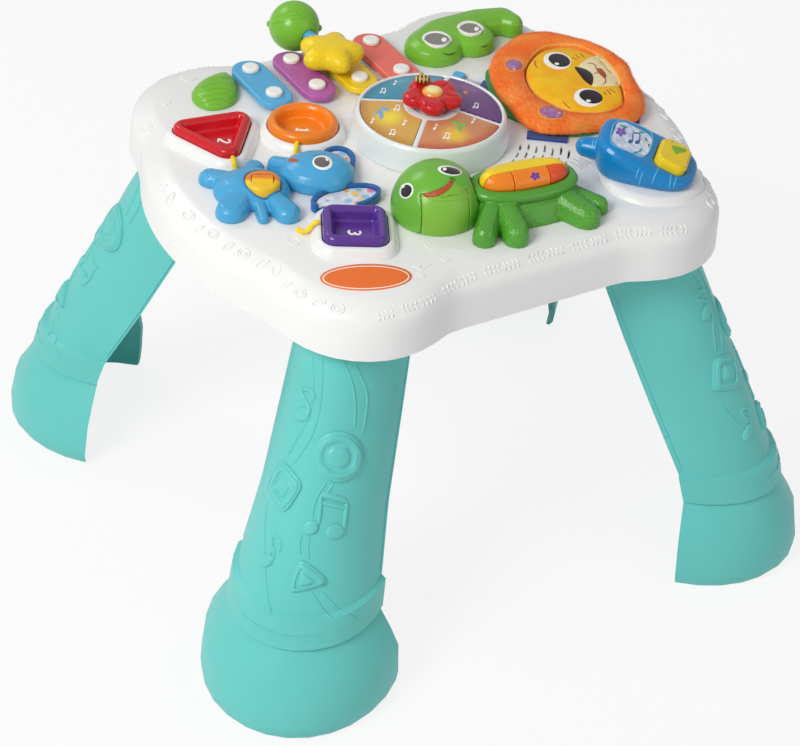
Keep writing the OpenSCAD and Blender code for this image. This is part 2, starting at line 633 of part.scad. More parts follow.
// Outside of the turtle's trunk and rim as [growth, height].
trunk_profile = [[11, deck_z + 0.4], [9.5, deck_z + 4], [4.5, rim_h - 9], [2, rim_h - 7], [3.8, rim_h - 3.8], [4.2, rim_h - 1.2],
    [3, rim_h + 0.8], [1, rim_h + 2], [-1.2, rim_h + 2.3]];
recess_in = 3;
module turtle_body() {
    color("#57b331") difference() {
        union() {
            in_turtle() loft([for (k = trunk_profile) shell_ring(k[0], k[1])]);
            foot([-12, -113], [-27, -129.5], 8, 8.5, 19);
            foot([-1, -115], [-6, -137.5], 9.5, 9.5, 20);
            foot([43, -116], [52, -138], 11, 10.5, 19);
            foot([54, -111], [68.5, -129.5], 8, 7, 15);
        }
        in_turtle() loft([shell_ring(-recess_in, key_low - key_travel - 0.6), shell_ring(-recess_in, rim_h + 4)]);
    }
}
module key_dome() {
    loft([for (k = [[0, 0], [0, 0.2], [0.08, 0.45], [0.24, 0.7], [0.5, 0.9], [0.9, 1]])
        shell_ring(-recess_in - key_gap - k[0] * key_crown, key_low + k[1] * key_crown)]);
}
key_split_y = -3;
key_split_x = [-13, 15];
module key_slice(x0, x1, y0, y1) {
    in_turtle() intersection() {
        key_dome();
        translate([x0, y0, key_low - 1]) cube([x1 - x0, y1 - y0, key_crown + 4]);
    }
}
module key_yellow() color("#f7d417") key_slice(-60, 60, key_split_y + key_gap / 2, 40);
module key_orange() color("#f0862a") key_slice(-60, key_split_x[0] - key_gap / 2, -40, key_split_y - key_gap / 2);
module key_swirl() color("#f07a24") key_slice(key_split_x[0] + key_gap / 2, key_split_x[1] - key_gap / 2, -40, key_split_y - key_gap / 2);
module key_red() color("#ea5a22") key_slice(key_split_x[1] + key_gap / 2, 60, -40, key_split_y - key_gap / 2);

head_z = deck_z + 7;
jaw_turn = 254;
module head_form(grow) {
    translate([turtle_head_at[0], turtle_head_at[1], 0]) intersection() {
        translate([0, 0, head_z]) sphere(r = turtle_head_r + grow, $fn = big_fn);
        translate([-60, -60, deck_z]) cube([120, 120, 60]);
    }
}
module jaw_wedge(grow) {
    translate([turtle_head_at[0], turtle_head_at[1], deck_z - 1]) rotate([0, 0, jaw_turn])
        translate([-1 - grow, -17 - grow, 0]) cube([50, 34 + 2 * grow, 29 + grow]);
}
module body_clear(grow) {
    in_turtle() loft(concat([shell_ring(trunk_profile[0][0] + grow, deck_z - 1)],
        [for (k = [0:3]) shell_ring(trunk_profile[k][0] + grow, trunk_profile[k][1])],
        [shell_ring(trunk_profile[5][0] + grow, trunk_profile[4][1]), shell_ring(trunk_profile[5][0] + grow, deck_z + 60)]));
}
module turtle_head() {
    color("#62bd35") difference() {
        head_form(0);
        jaw_wedge(0.15);
        body_clear(0.3);
    }
}
module turtle_jaw() {
    color("#8ccb46") difference() {
        intersection() {
            head_form(-0.2);
            jaw_wedge(0);
        }
        body_clear(0.3);
    }
}

// ---- elephant ----
module drop(a, b, ra, rb, h) {
    hull() {
        translate([a[0], a[1], deck_z]) pebble(ra, h);
        translate([b[0], b[1], deck_z]) pebble(rb, h * 0.8);
    }
}
module pebble(r, h) {
    rotate_extrude($fn = 28) polygon([[0, 0], [r, 0], [r, h * 0.35], [r * 0.9, h * 0.68], [r * 0.62, h * 0.92], [0, h]]);
}
elephant_at = [-147, -11];
elephant_turn = -28;
belly_at = [-143, -19];
// Radius of the roller in the elephant's belly, its length and the play around it
belly_r = 9.6;
roller_len = 15;
roller_gap = 0.5;
roller_z = deck_z + belly_r + 0.3;
axle_r = 1.5;
axle_end = 2.6;
module elephant_shape() {
    translate([elephant_at[0], elephant_at[1], 0]) loft([for (k = [[0, 1], [5, 1.02], [10, 0.92], [14, 0.72], [16, 0.45], [16.6, 0.1]])
        at_height(place(oval(27 * k[1], 21 * k[1], 32), [0, 0], elephant_turn), deck_z + k[0])]);
    drop([-152, 0], [-166, 16], 8, 8.5, 12);
    drop([-157, -16], [-172, -28], 10, 11, 14);
    drop([-142, 4], [-133, 12.5], 7, 8, 13);
    drop([-140, -30], [-137, -46], 7, 9.5, 13);
    drop([-150, -30], [-155, -44], 5, 4, 8);
}
module elephant_body() {
    color("#5db5e4") difference() {
        elephant_shape();
        translate([belly_at[0], belly_at[1], roller_z]) rotate([0, 0, elephant_turn]) {
            rotate([0, 90, 0]) translate([0, 0, -roller_len / 2 - 0.4]) cylinder(h = roller_len + 0.8, r = belly_r + roller_gap, $fn = mid_fn);
            rotate([0, 90, 0]) translate([0, 0, -roller_len / 2 - axle_end - 0.4])
                cylinder(h = roller_len + 2 * axle_end + 0.8, r = axle_r + 0.05, $fn = small_fn);
        }
        head_clear();
    }
}
module belly_roller() {
    color("#f39a2d") translate([belly_at[0], belly_at[1], roller_z]) rotate([0, 0, elephant_turn]) rotate([0, 90, 0]) {
        translate([0, 0, -roller_len / 2]) cylinder(h = roller_len, r = belly_r, $fn = mid_fn);
        translate([0, 0, -roller_len / 2 - axle_end]) cylinder(h = roller_len + 2 * axle_end, r = axle_r, $fn = small_fn);
    }
}
head_at = [-96, -14];
head_profile = [[0, 0.9], [4, 1], [9, 0.99], [14, 0.86], [18, 0.6], [20, 0.25]];
module head_oval(grow) {
    translate([head_at[0], head_at[1], 0]) loft([for (k = head_profile)
        at_height(place(oval(27 * k[1] + grow, 22 * k[1] + grow, 32), [0, 0], elephant_turn), deck_z + k[0])]);
}
module head_clear() {
    head_oval(0.35);
    drop([-108, 0], [-116, 12], 7.4, 6.4, 13.4);
}
module elephant_head() {
    color("#57b0e2") {
        head_oval(0);
        drop([-108, 0], [-116, 12], 7, 6, 13);
    }
}
ear_spots = [[-73, -2.4], [-91, -47]];
ear_turns = [58, -2];
ear_sizes = [[17.5, 13], [27, 14]];
module ear_shape(k, inset, h) {
    linear_extrude(h) difference() {
        polygon(place(oval(ear_sizes[k][0] - inset, ear_sizes[k][1] - inset, 36), ear_spots[k], ear_turns[k]));
        polygon(place(oval(27.6, 22.6, 32), head_at, elephant_turn));
        polygon(place(round_polygon(4, square_corner, square_round + 9, 6), square_at, square_turn));
    }
}
module ear_frames() {
    color("#1f6fb7") translate([0, 0, deck_z]) for (k = [0, 1]) difference() {
        ear_shape(k, 0, 7);
        translate([0, 0, 3]) ear_shape(k, 3.2, 5);
    }
}
module ear_inserts() {
    color("#cfdfe4") translate([0, 0, deck_z + 3]) for (k = [0, 1]) ear_shape(k, 3.4, 1.6);
}
string_r = 1.8;
// A round cord through a row of points.
module tube(path, r) {
    loft([for (k = [0:len(path) - 1])
        let (d = path[min(k + 1, len(path) - 1)] - path[max(k - 1, 0)], l = norm(d), u = d / l,
            side = cross([0, 0, 1], u) / norm(cross([0, 0, 1], u)), up = cross(u, side))
        [for (i = [0:9]) path[k] + r * (cos(36 * i) * side + sin(36 * i) * up)]]);
}
// A cord that lies over the edge of a seat, whose hole edge is at start, and runs out to stop on the deck.
module seat_string(start, bend, stop) {
    u = (bend - start) / norm(bend - start);
    over = [[1.6, 9.3], [4, 9.1], [6.8, 7.3], [9, 3.6], [11, 2.3]];
    tube(concat([for (k = over) [start[0] + u[0] * k[0], start[1] + u[1] * k[0], deck_z + k[1]]],
        [[bend[0], bend[1], deck_z + 2.1], [stop[0], stop[1], deck_z + 2.1]]), string_r);
}
module balloon_strings() {
    color("#f0cd3c") {
        seat_string([-142.9, 28.1], [-145.1, 16.1], [-146, 13.5]);
        seat_string([-90.5, 26.2], [-98, 16.5], [-99.5, 12.5]);
        seat_string([-124.5, -72.5], [-137, -69], [-139, -64]);
    }
}

// ---- leaf, figure, switch and label ----
leaf_at = [-107, 122.5];
leaf_turn = 47;
function leaf_outline(s) = [for (i = [0:27]) let (a = 360 * i / 28, t = cos(a), w = pow(max(1 - t * t, 0), 0.62) * (1 - 0.32 * t))
    [s * 26 * t, s * 16.5 * w * sign(sin(a) + 0.0001)]];
module leaf() {
    color("#78c83c") loft([for (k = [[0, 1], [3, 1], [6.5, 0.86], [9, 0.62], [10.4, 0.3]])
        at_height(place(leaf_outline(k[1]), leaf_at, leaf_turn), deck_z + k[0])]);
}
figure_h = 16;
figure_spots = [[73, 109, 22.5], [106, 108, 19.5], [90, 121, 19], [124, 126, 13.5], [143, 122, 12], [147, 111, 8.5]];
module figure_part(a, b) {
    hull() for (k = [a, b]) translate([figure_spots[k][0], figure_spots[k][1], deck_z]) pebble(figure_spots[k][2], figure_h);
}
eye_z = deck_z + figure_h - 2.4;
module figure_body() {
    color("#7fc73d") difference() {
        union() {
            figure_part(0, 2);
            figure_part(1, 2);
            figure_part(2, 3);
            figure_part(3, 4);
            figure_part(4, 5);
        }
        for (e = eyes) translate([e[0], e[1], eye_z]) cylinder(h = 8, r = e[2] + 0.05, $fn = mid_fn);
    }
}
eyes = [[72, 103, 9.5], [104, 106, 8.5]];
module figure_eyes() {
    color("#d9dadc") for (e = eyes) translate([e[0], e[1], eye_z]) cylinder(h = 2.6, r = e[2], $fn = mid_fn);
}
knob_l = 9;
module switch_plate() {
    color("#d5dbe0") difference() {
        switch_cut(0, deck_z - 4, deck_z - 1.2);
        translate([switch_at[0], switch_at[1], 0]) rotate([0, 0, switch_turn])
            translate([-switch_l / 2 + 5, -1.6, deck_z - 5]) cube([switch_l - 10, 3.2, 6]);
    }
}
module switch_knob() {
    color("#63bde8") translate([switch_at[0], switch_at[1], 0]) rotate([0, 0, switch_turn]) {
        rounded_plate(-switch_l / 2 + 0.6, -switch_l / 2 + 0.6 + knob_l, -switch_w / 2 + 0.5, switch_w / 2 - 0.5, 2.5, deck_z - 1, deck_z + 3);
        translate([-switch_l / 2 + 5.3, -1.4, deck_z - 7]) cube([3, 2.8, 7]);
    }
}
label_at = [-121, -129];
label_turn = -24.5;
module label() {
    color("#f47b20") translate([label_at[0], label_at[1], deck_z]) rotate([0, 0, label_turn]) linear_extrude(0.8)
        polygon(concat([for (i = [0:20]) let (x = -31 + 62 * i / 20, s = x / 31) [x, -9 - 11 * sqrt(max(1 - s * s, 0)) + 5 * s * s]],
            [for (i = [20:-1:0]) let (x = -31 + 62 * i / 20, s = x / 31) [x, 2 + 6 * sqrt(max(1 - pow(s, 6), 0)) + 0.5 - 2 * (1 - s * s) + 1]]));
}

// ---- soft lion ----
function lion_ring(s, z) = [for (i = [0:35]) let (a = 360 * i / 36, r = 1 + 0.035 * cos(6 * a - 40))
    [lion_at[0] + s * r * lion_half_x * cos(a), lion_at[1] + s * r * lion_half_y * sin(a), z]];
lion_low = deck_z + 2.4;
module lion_pad() {
    color("#f08a2c") loft([lion_ring(0.93, lion_low), lion_ring(1, lion_low + 3), lion_ring(0.985, lion_low + 7),
        lion_ring(0.86, lion_low + lion_t - 2), lion_ring(0.5, lion_low + lion_t)]);
}
module lion_backing() {
    color("#3f8f4f") loft([for (z = [deck_z, lion_low - seat_gap]) at_height([for (p = lion_ring(0.97, z)) [p[0] - 2, p[1] - 2.5]], z)]);
}
module ribbon(at, turn, l) {
    translate([at[0], at[1], deck_z]) rotate([0, 0, turn]) translate([-l / 2, -5, 0]) cube([l, 10, 1.8]);
}
module lion_straps() {
    color("#24428f") difference() {
        union() {
            ribbon([80, 44], 40, 26);
            ribbon([88, -32], -35, 30);
            ribbon([168, -30], -130, 26);
        }
        loft([for (z = [deck_z - 1, lion_low + 2]) at_height([for (p = lion_ring(0.975, z)) [p[0] - 2, p[1] - 2.5]], z)]);
    }
}

// ---- phone ----
phone_turn = -45;
phone_low = deck_z + cradle_h;
phone_top = deck_z + phone_h;
module in_phone() {
    translate([phone_at[0], phone_at[1], 0]) rotate([0, 0, phone_turn]) children();
}
// The sloping face: z = 0 lies in it.
module in_face() {
    in_phone() translate([0, 0, phone_top]) rotate([0, phone_tilt, 0]) children();
}
// Outline at a share of the way up from the cradle to the sloping face.
function phone_ring(inset, share) = [for (p = soft_box(phone_l / 2 - inset, phone_w / 2 - inset, 3.2, 44))
    [p[0], p[1], phone_low + share * (phone_top - p[0] * tan(phone_tilt) - phone_low)]];
phone_profile = [[4, 0], [2, 0.12], [0.5, 0.35], [0, 0.68], [0.8, 0.84], [2.8, 0.95], [6, 1]];
call_at = [19, 0];
call_l = 24;
call_w = 32;
call_deep = 7.5;
screen_at = [-13, 0.5];
screen_l = 29;
screen_w = 34;
module call_cut(grow, z0, z1) {
    translate([call_at[0], call_at[1], 0]) rounded_plate(-call_l / 2 - grow, call_l / 2 + grow, -call_w / 2 - grow, call_w / 2 + grow, 7 + grow, z0, z1);
}
antenna_r = 7.5;
antenna_at = [-32, -6, deck_z + 19];
module phone_body() {
    color("#1f9ad6") difference() {
        in_phone() {
            loft([for (k = phone_profile) phone_ring(k[0], k[1])]);
            translate(antenna_at) rotate([0, -90, 0]) cylinder(h = 12, r1 = antenna_r + 1.5, r2 = antenna_r, $fn = 32);
            translate([antenna_at[0] - 12, antenna_at[1], antenna_at[2]]) sphere(r = antenna_r, $fn = 32);
        }
        in_face() {
            call_cut(0.5, -call_deep, 8);
            translate([call_at[0], call_at[1], -call_deep - call_travel - 0.5]) cylinder(h = 6, r = 4.3, $fn = small_fn);
            translate([screen_at[0], screen_at[1], 0])
                rounded_plate(-screen_l / 2, screen_l / 2, -screen_w / 2, screen_w / 2, 8, -1.2, 8);
        }
    }
}
module phone_screen() {
    color("#a9cfe0") in_face() translate([screen_at[0], screen_at[1], 0])
        rounded_plate(-screen_l / 2 + 0.2, screen_l / 2 - 0.2, -screen_w / 2 + 0.2, screen_w / 2 - 0.2, 7.8, -1.2, 0.2);
}
module call_button() {
    color("#f2dc30") in_face() {
        call_cut(0, -call_deep + call_travel + 0.3, 5);
        call_cut(-1.6, 4, 6.4);
        translate([call_at[0], call_at[1], -call_deep + 0.2]) cylinder(h = 6, r = 4, $fn = small_fn);
    }
}

top_shell();
bottom_shell();
battery_door();
door_screw();
housing_screws();
speaker();
front_left_leg();
front_right_leg();
back_right_leg();
back_left_leg();
dome_body();
window_amber();
window_red();
window_purple();
window_teal();
flower_button();
flower_centre();
bee();
round_button();
triangle_button();
square_button();
elephant_body();
elephant_head();
ear_frames();
ear_inserts();
belly_roller();
balloon_strings();
leaf();
bar_blue();
bar_purple();
bar_yellow();
bar_red();
bar_pins();
mallet_ball();
mallet_handle();
mallet_star();
figure_body();
figure_eyes();
switch_plate();
switch_knob();
lion_pad();
lion_backing();
lion_straps();
phone_body();
phone_screen();
call_button();
turtle_body();
turtle_head();
turtle_jaw();
key_yellow();
key_orange();
key_swirl();
key_red();
label();
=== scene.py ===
# %% [markdown]
# # A musical activity table
# A small child's play table: a white lobed deck on four splayed teal legs, with buttons, xylophone
# bars, a light dome, toy animals, a soft lion and a toy phone on it. The rigid frame comes in ready
# made, so this lesson gives it smooth skins and real finishes, and adds what a solid modeller leaves
# out: raised ornament, plush, stitching, printed windows and small trims.

# %% Load the frame
import bpy, bmesh, math, random
from mathutils import Vector, Matrix
from mathutils.bvhtree import BVHTree


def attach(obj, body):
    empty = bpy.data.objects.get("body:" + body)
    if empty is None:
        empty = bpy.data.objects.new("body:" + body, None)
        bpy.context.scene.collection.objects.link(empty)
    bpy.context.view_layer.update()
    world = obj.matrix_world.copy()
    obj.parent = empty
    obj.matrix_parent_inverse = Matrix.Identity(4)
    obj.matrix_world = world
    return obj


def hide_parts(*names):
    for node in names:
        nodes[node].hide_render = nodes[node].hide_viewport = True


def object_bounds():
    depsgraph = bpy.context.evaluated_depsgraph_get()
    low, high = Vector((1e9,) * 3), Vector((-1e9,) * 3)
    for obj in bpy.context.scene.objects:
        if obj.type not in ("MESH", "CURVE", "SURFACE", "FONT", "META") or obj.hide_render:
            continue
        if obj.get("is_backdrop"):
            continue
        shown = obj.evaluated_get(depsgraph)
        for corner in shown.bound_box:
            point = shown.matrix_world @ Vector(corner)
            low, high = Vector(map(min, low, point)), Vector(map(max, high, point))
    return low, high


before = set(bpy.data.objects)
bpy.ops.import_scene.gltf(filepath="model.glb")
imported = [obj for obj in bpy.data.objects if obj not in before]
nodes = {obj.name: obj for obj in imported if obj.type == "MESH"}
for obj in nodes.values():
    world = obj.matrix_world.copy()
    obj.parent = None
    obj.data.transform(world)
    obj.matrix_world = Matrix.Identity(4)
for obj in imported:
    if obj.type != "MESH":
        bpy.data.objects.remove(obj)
size_of_frame = [list(corner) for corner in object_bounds()]
scene = bpy.context.scene
MM = 0.001

# %% [markdown]
# The camera stands well back with a long lens, as for a catalogue picture, and looks down on the
# deck. Its three axes are worked out from a turn, a height angle and a small roll, so the same
# numbers also tell which point of the table lies under a given spot of the picture.

# %% Camera
PICTURE_W, PICTURE_H = 800, 746
FOCAL = 2495.6
turn, rise, roll = (math.radians(a) for a in (-32.964, 37.088, 4.78))
eye = Vector((-0.85194, -1.30881, 1.27688))
back = Vector((math.sin(turn) * math.cos(rise), -math.cos(turn) * math.cos(rise), math.sin(rise)))
level = Vector((math.cos(turn), math.sin(turn), 0))
over = back.cross(level)
right = math.cos(roll) * level + math.sin(roll) * over
up = math.cos(roll) * over - math.sin(roll) * level
camera = bpy.data.objects.new("camera", bpy.data.cameras.new("camera"))
camera.data.sensor_fit = "HORIZONTAL"
camera.data.sensor_width = 36
camera.data.lens = FOCAL / PICTURE_W * 36
camera.data.clip_start, camera.data.clip_end = 0.1, 60
camera.matrix_world = Matrix((right, up, back)).transposed().to_4x4()
camera.matrix_world.translation = eye
scene.collection.objects.link(camera)
scene.camera = camera


def sight(u, v):
    """Direction of the line of sight through spot (u, v) of the picture."""
    return (right * (u - PICTURE_W / 2) / FOCAL - up * (v - PICTURE_H / 2) / FOCAL - back).normalized()


print("camera:", round(camera.data.lens, 1), "mm lens,", round(eye.length, 2), "m away")

# %% [markdown]
# Light as in a plain product studio: a large soft lamp high on the left, a weaker one on the right,
# and a pale room all round. The floor and the room show as white to the camera and to glossy
# plastic, but light the table only gently, so white plastic keeps its shading.

# %% Lamps
def lamp(name, place, target, size, watts, colour=(1, 1, 1)):
    light = bpy.data.lights.new(name, "AREA")
    light.shape, light.size, light.energy, light.color = "DISK", size, watts, colour
    holder = bpy.data.objects.new(name, light)
    holder.location = place
    holder.rotation_euler = (Vector(target) - Vector(place)).to_track_quat("-Z", "Y").to_euler()
    scene.collection.objects.link(holder)


lamp("key", (-1.85, -0.6, 1.85), (0, 0, 0.2), 1.1, 38, (1, 0.985, 0.96))
lamp("fill", (1.1, -2.3, 1.5), (0, 0, 0.15), 1.6, 7, (0.97, 0.985, 1))
lamp("rim", (-0.8, 2.2, 2.3), (0, 0, 0.3), 1.2, 13)
scene.view_settings.view_transform = "Standard"
print("lamps: key, fill and rim")


# %% Room and floor
def by_ray(tree, base, camera_more, gloss_more):
    """A number that is higher for what the camera or a glossy reflection sees of the room."""
    path = tree.nodes.new("ShaderNodeLightPath")
    total = base
    shares = {"Is Camera Ray": camera_more, "Is Transmission Ray": camera_more, "Is Glossy Ray": gloss_more}
    for ray, more in shares.items():
        sum_up = tree.nodes.new("ShaderNodeMath")
        sum_up.operation = "MULTIPLY_ADD"
        tree.links.new(path.outputs[ray], sum_up.inputs[0])
        sum_up.inputs[1].default_value = more
        if isinstance(total, float):
            sum_up.inputs[2].default_value = total
        else:
            tree.links.new(total, sum_up.inputs[2])
        total = sum_up.outputs[0]
    return total


world = bpy.data.worlds.new("room")
scene.world = world
world.use_nodes = True
room = world.node_tree
room.nodes.clear()
glow = room.nodes.new("ShaderNodeBackground")
glow.inputs[0].default_value = (0.98, 0.99, 1, 1)
room.links.new(by_ray(room, 0.36, 0.66, 0.24), glow.inputs[1])
room.links.new(glow.outputs[0], room.nodes.new("ShaderNodeOutputWorld").inputs[0])

floor_mesh = bpy.data.meshes.new("floor")
floor_mesh.from_pydata([(-9, -9, 0), (9, -9, 0), (9, 9, 0), (-9, 9, 0)], [], [(0, 1, 2, 3)])
floor = bpy.data.objects.new("floor", floor_mesh)
scene.collection.objects.link(floor)
paper = bpy.data.materials.new("studio_floor")
paper.use_nodes = True
tree = paper.node_tree
skin = tree.nodes["Principled BSDF"]
skin.inputs["Base Color"].default_value = (0.9, 0.9, 0.9, 1)
skin.inputs["Roughness"].default_value = 0.9
glow = tree.nodes.new("ShaderNodeEmission")
glow.inputs[0].default_value = (1, 1, 1, 1)
half = tree.nodes.new("ShaderNodeMixShader")
tree.links.new(by_ray(tree, 0.0, 0.84, 0.38), half.inputs[0])
tree.links.new(skin.outputs[0], half.inputs[1])
tree.links.new(glow.outputs[0], half.inputs[2])
tree.links.new(half.outputs[0], tree.nodes["Material Output"].inputs[0])
floor.data.materials.append(paper)
floor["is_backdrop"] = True
print("room and floor ready")

# %% [markdown]
# Every finish is a tree of shader nodes. Writing such trees by hand is tedious, so a small class
# wraps a socket and takes part in ordinary sums: `rough = 0.3 + 0.1 * grain` adds the two Math nodes
# by itself. One method adds any other node. Nothing here knows where the camera stands.

# %% Shader sums
class Wire:
    """A socket of a finish that can be added to and multiplied."""

    def __init__(self, finish, socket):
        self.finish, self.socket = finish, socket

    def sum(self, operation, *others):
        sockets = dict(enumerate((self,) + others))
        return self.finish.node("ShaderNodeMath", {"operation": operation}, sockets)

    def __add__(self, other):
        return self.sum("ADD", other)

    def __mul__(self, other):
        return self.sum("MULTIPLY", other)

    def __abs__(self):
        return self.sum("ABSOLUTE")

    __radd__, __rmul__ = __add__, __mul__


print("sockets can now be added, multiplied and made positive")


# %% Colours and finishes
def rgb(code):
    """A colour written as on a paint chart, made linear."""
    parts = [int(code[i:i + 2], 16) / 255 for i in (1, 3, 5)]
    return tuple(c / 12.92 if c <= 0.04045 else ((c + 0.055) / 1.055) ** 2.4 for c in parts) + (1.0,)


def shade(code, k):
    """The same colour, k times as bright."""
    return tuple(min(c * k, 1.0) for c in rgb(code)[:3]) + (1.0,)


class Finish:
    """A material under construction, around one Principled shader."""

    def __init__(self, name, **plain):
        self.material = bpy.data.materials.new(name)
        self.material.use_nodes = True
        self.tree = self.material.node_tree
        self.skin = self.tree.nodes["Principled BSDF"]
        for socket, value in plain.items():
            self.skin.inputs[socket.replace("_", " ")].default_value = value

    def node(self, kind, settings=None, sockets=None, outlet=0):
        """Adds a node with its settings and what goes into its sockets; returns one outlet."""
        made = self.tree.nodes.new(kind)
        for name, value in (settings or {}).items():
            if name == "stops":
                ramp = made.color_ramp
                while len(ramp.elements) < len(value):
                    ramp.elements.new(0.5)
                for stop, (place, colour) in zip(ramp.elements, value):
                    stop.position, stop.color = place, colour
            else:
                setattr(made, name, value)
        for where, value in (sockets or {}).items():
            self.join(value, made.inputs[where])
        return Wire(self, made.outputs[outlet])

    def join(self, value, socket):
        if isinstance(value, Wire):
            self.tree.links.new(value.socket, socket)
        else:
            socket.default_value = value

    def give(self, **sockets):
        for name, value in sockets.items():
            self.join(value, self.skin.inputs[name.replace("_", " ")])
        return self

    def place(self, scale=(1, 1, 1), at=(0, 0, 0)):
        """Object coordinates, moved so that `at` is the middle, and scaled."""
        spot = self.node("ShaderNodeTexCoord", outlet="Object")
        if at != (0, 0, 0):
            spot = self.node("ShaderNodeVectorMath", {"operation": "SUBTRACT"}, {0: spot, 1: at})
        return self.node("ShaderNodeMapping", None, {"Vector": spot, "Scale": scale})

    def distance(self, at):
        """How far each point lies from `at`."""
        return self.node("ShaderNodeVectorMath", {"operation": "LENGTH"}, {0: self.place(at=at)}, "Value")

    def along(self, way, at):
        """How far each point lies from `at` along a direction."""
        sockets = {0: self.place(at=at), 1: tuple(way)}
        return self.node("ShaderNodeVectorMath", {"operation": "DOT_PRODUCT"}, sockets, "Value")

    def part(self, spot, axis):
        """One coordinate of a place."""
        return self.node("ShaderNodeSeparateXYZ", None, {0: spot}, axis)

    def noise(self, scale, detail=2.0, rough=0.5, spot=None):
        sockets = {"Vector": spot or self.place(), "Scale": scale, "Detail": detail, "Roughness": rough}
        return self.node("ShaderNodeTexNoise", None, sockets, "Fac")

    def mix(self, factor, a, b):
        """Colour a, or b where the factor is 1."""
        settings = {"data_type": "RGBA", "clamp_factor": True}
        return self.node("ShaderNodeMix", settings, {0: factor, 6: a, 7: b}, 2)

    def step(self, value, low, high, to_low=0.0, to_high=1.0):
        """A smooth step of a value between low and high."""
        return self.node("ShaderNodeMapRange", {"interpolation_type": "SMOOTHSTEP"},
                         {0: value, 1: low, 2: high, 3: to_low, 4: to_high})

    def bump(self, height, depth, strength=1.0, under=None):
        sockets = {"Height": height, "Distance": depth, "Strength": strength}
        if under:
            sockets["Normal"] = under
        return self.node("ShaderNodeBump", None, sockets)


print("a warm white made linear:", [round(c, 3) for c in rgb("#fbfaf6")])

# %% [markdown]
# Most of the table is injection-moulded ABS: glossy, a little wavy, with a fine spark-eroded skin
# where the tool was textured and faint rub marks from use. One recipe serves them all, with the
# colour, the gloss and the depth of the grain as its values.

# %% Moulded plastic
FINE = 0.00001


def moulded(name, colour, gloss=0.3, grain=0.00004, grain_scale=1400, drift=0.05, coat=0.0, **plain):
    made = Finish(name, **{"Coat_Roughness": 0.08, "Specular_IOR_Level": 0.36, **plain})
    spot = made.place()
    cloud = made.noise(9, 3, 0.55, spot)
    speck = made.noise(grain_scale, 2, 0.6, spot)
    rubbed = made.step(made.noise(60, 5, 0.7, spot), 0.56, 0.74)
    tone = made.mix(made.step(cloud, 0.3, 0.7), shade(colour, 1 - drift), shade(colour, 1 + drift))
    wave = made.bump(made.noise(26, 1, 0.5, spot), 0.0002, 0.35)
    made.give(Base_Color=tone, Roughness=gloss + 0.07 * rubbed + 0.05 * speck, Coat_Weight=coat,
              Normal=made.bump(speck, grain, 0.6, wave))
    return made.material


print("the finest grain is", round(FINE / MM, 3), "mm deep")

# %% Finishes of the frame
finishes = {
    "housing_white": moulded("housing_white", "#f1f1f0", 0.26, 0.00002, 900, 0.012, 0.2),
    "underside_white": moulded("underside_white", "#e8e7e3", 0.45, 0.00006, 700, 0.02),
    "leg_teal": moulded("leg_teal", "#68cbc6", 0.36, 0.00004, 1100, 0.03, 0.05),
    # Painted light: the speaker seen through the deck's slots is painted a light grey, so the deep, narrow
    # slots don't render black in their shade.
    "speaker_black": moulded("speaker_black", "#c2c3c6", 0.7, 0.0001, 600),
    "dome_white": moulded("dome_white", "#f2f1ee", 0.2, FINE, 900, 0.012, 0.3, Subsurface_Weight=0.15),
    "red": moulded("red", "#cf1822", 0.22, coat=0.18),
    "gold": moulded("gold", "#fcae2c", 0.24, coat=0.15),
    "yellow": moulded("yellow", "#f7d417", 0.26, coat=0.12),
    "orange": moulded("orange", "#f5861a", 0.24, coat=0.15),
    "orange_red": moulded("orange_red", "#e9551c", 0.24, coat=0.15),
    "purple": moulded("purple", "#5b3590", 0.22, coat=0.2),
    "magenta": moulded("magenta", "#b560a9", 0.28, coat=0.12),
    "coral": moulded("coral", "#ef7263", 0.28, coat=0.12),
    "elephant_blue": moulded("elephant_blue", "#49a7d8", 0.27, coat=0.12),
    "dark_blue": moulded("dark_blue", "#1f64a8", 0.26, coat=0.12),
    "grey_print": moulded("grey_print", "#c4d6dd", 0.32, coat=0.1),
    "sky_blue": moulded("sky_blue", "#57aedd", 0.27, coat=0.12),
    "leaf_green": moulded("leaf_green", "#78bc34", 0.26, coat=0.12),
    "turtle_green": moulded("turtle_green", "#54a331", 0.26, coat=0.15),
    "light_green": moulded("light_green", "#82bd3e", 0.3, coat=0.1),
    "pin_white": moulded("pin_white", "#f7f6f2", 0.2, FINE, coat=0.4),
    "plate_grey": moulded("plate_grey", "#c9d1d6", 0.4, 0.00006, 900),
    "phone_blue": moulded("phone_blue", "#0b84c8", 0.24, coat=0.18),
    "screen_blue": moulded("screen_blue", "#7fa9c4", 0.18, FINE, coat=0.6),
    "label_orange": moulded("label_orange", "#f27326", 0.34, 0.00002, 1500, 0.02, 0.08),
    "lens_amber": moulded("lens_amber", "#e2a72f", 0.14, FINE, coat=0.3),
    "lens_red": moulded("lens_red", "#d8603a", 0.14, FINE, coat=0.3),
    "lens_purple": moulded("lens_purple", "#7c3f95", 0.14, FINE, coat=0.3),
    "lens_teal": moulded("lens_teal", "#3c9fb4", 0.14, FINE, coat=0.3),
    "fur_orange": moulded("fur_orange", "#ef8a2d", 0.8),
    "backing_green": moulded("backing_green", "#2f8b4c", 0.8),
    "strap_blue": moulded("strap_blue", "#27438c", 0.7),
}
steel = Finish("screw_steel", Metallic=1.0)
brushed = steel.noise(1, 3, 0.6, steel.place((3000, 200, 3000)))
steel.give(Base_Color=steel.mix(brushed, rgb("#a9abad"), rgb("#c9cbcc")), Roughness=0.25 + 0.2 * brushed,
           Normal=steel.bump(brushed, 0.00003, 0.5))
finishes["screw_steel"] = steel.material
finishes["silver"] = moulded("silver", "#8f8a87", 0.38, FINE, coat=0.2, Metallic=0.35)
worn = {}
for name, thing in nodes.items():
    for slot in thing.material_slots:
        worn.setdefault(slot.material.name, []).append(name)
        slot.material = finishes.get(slot.material.name.split(".")[0], finishes["housing_white"])
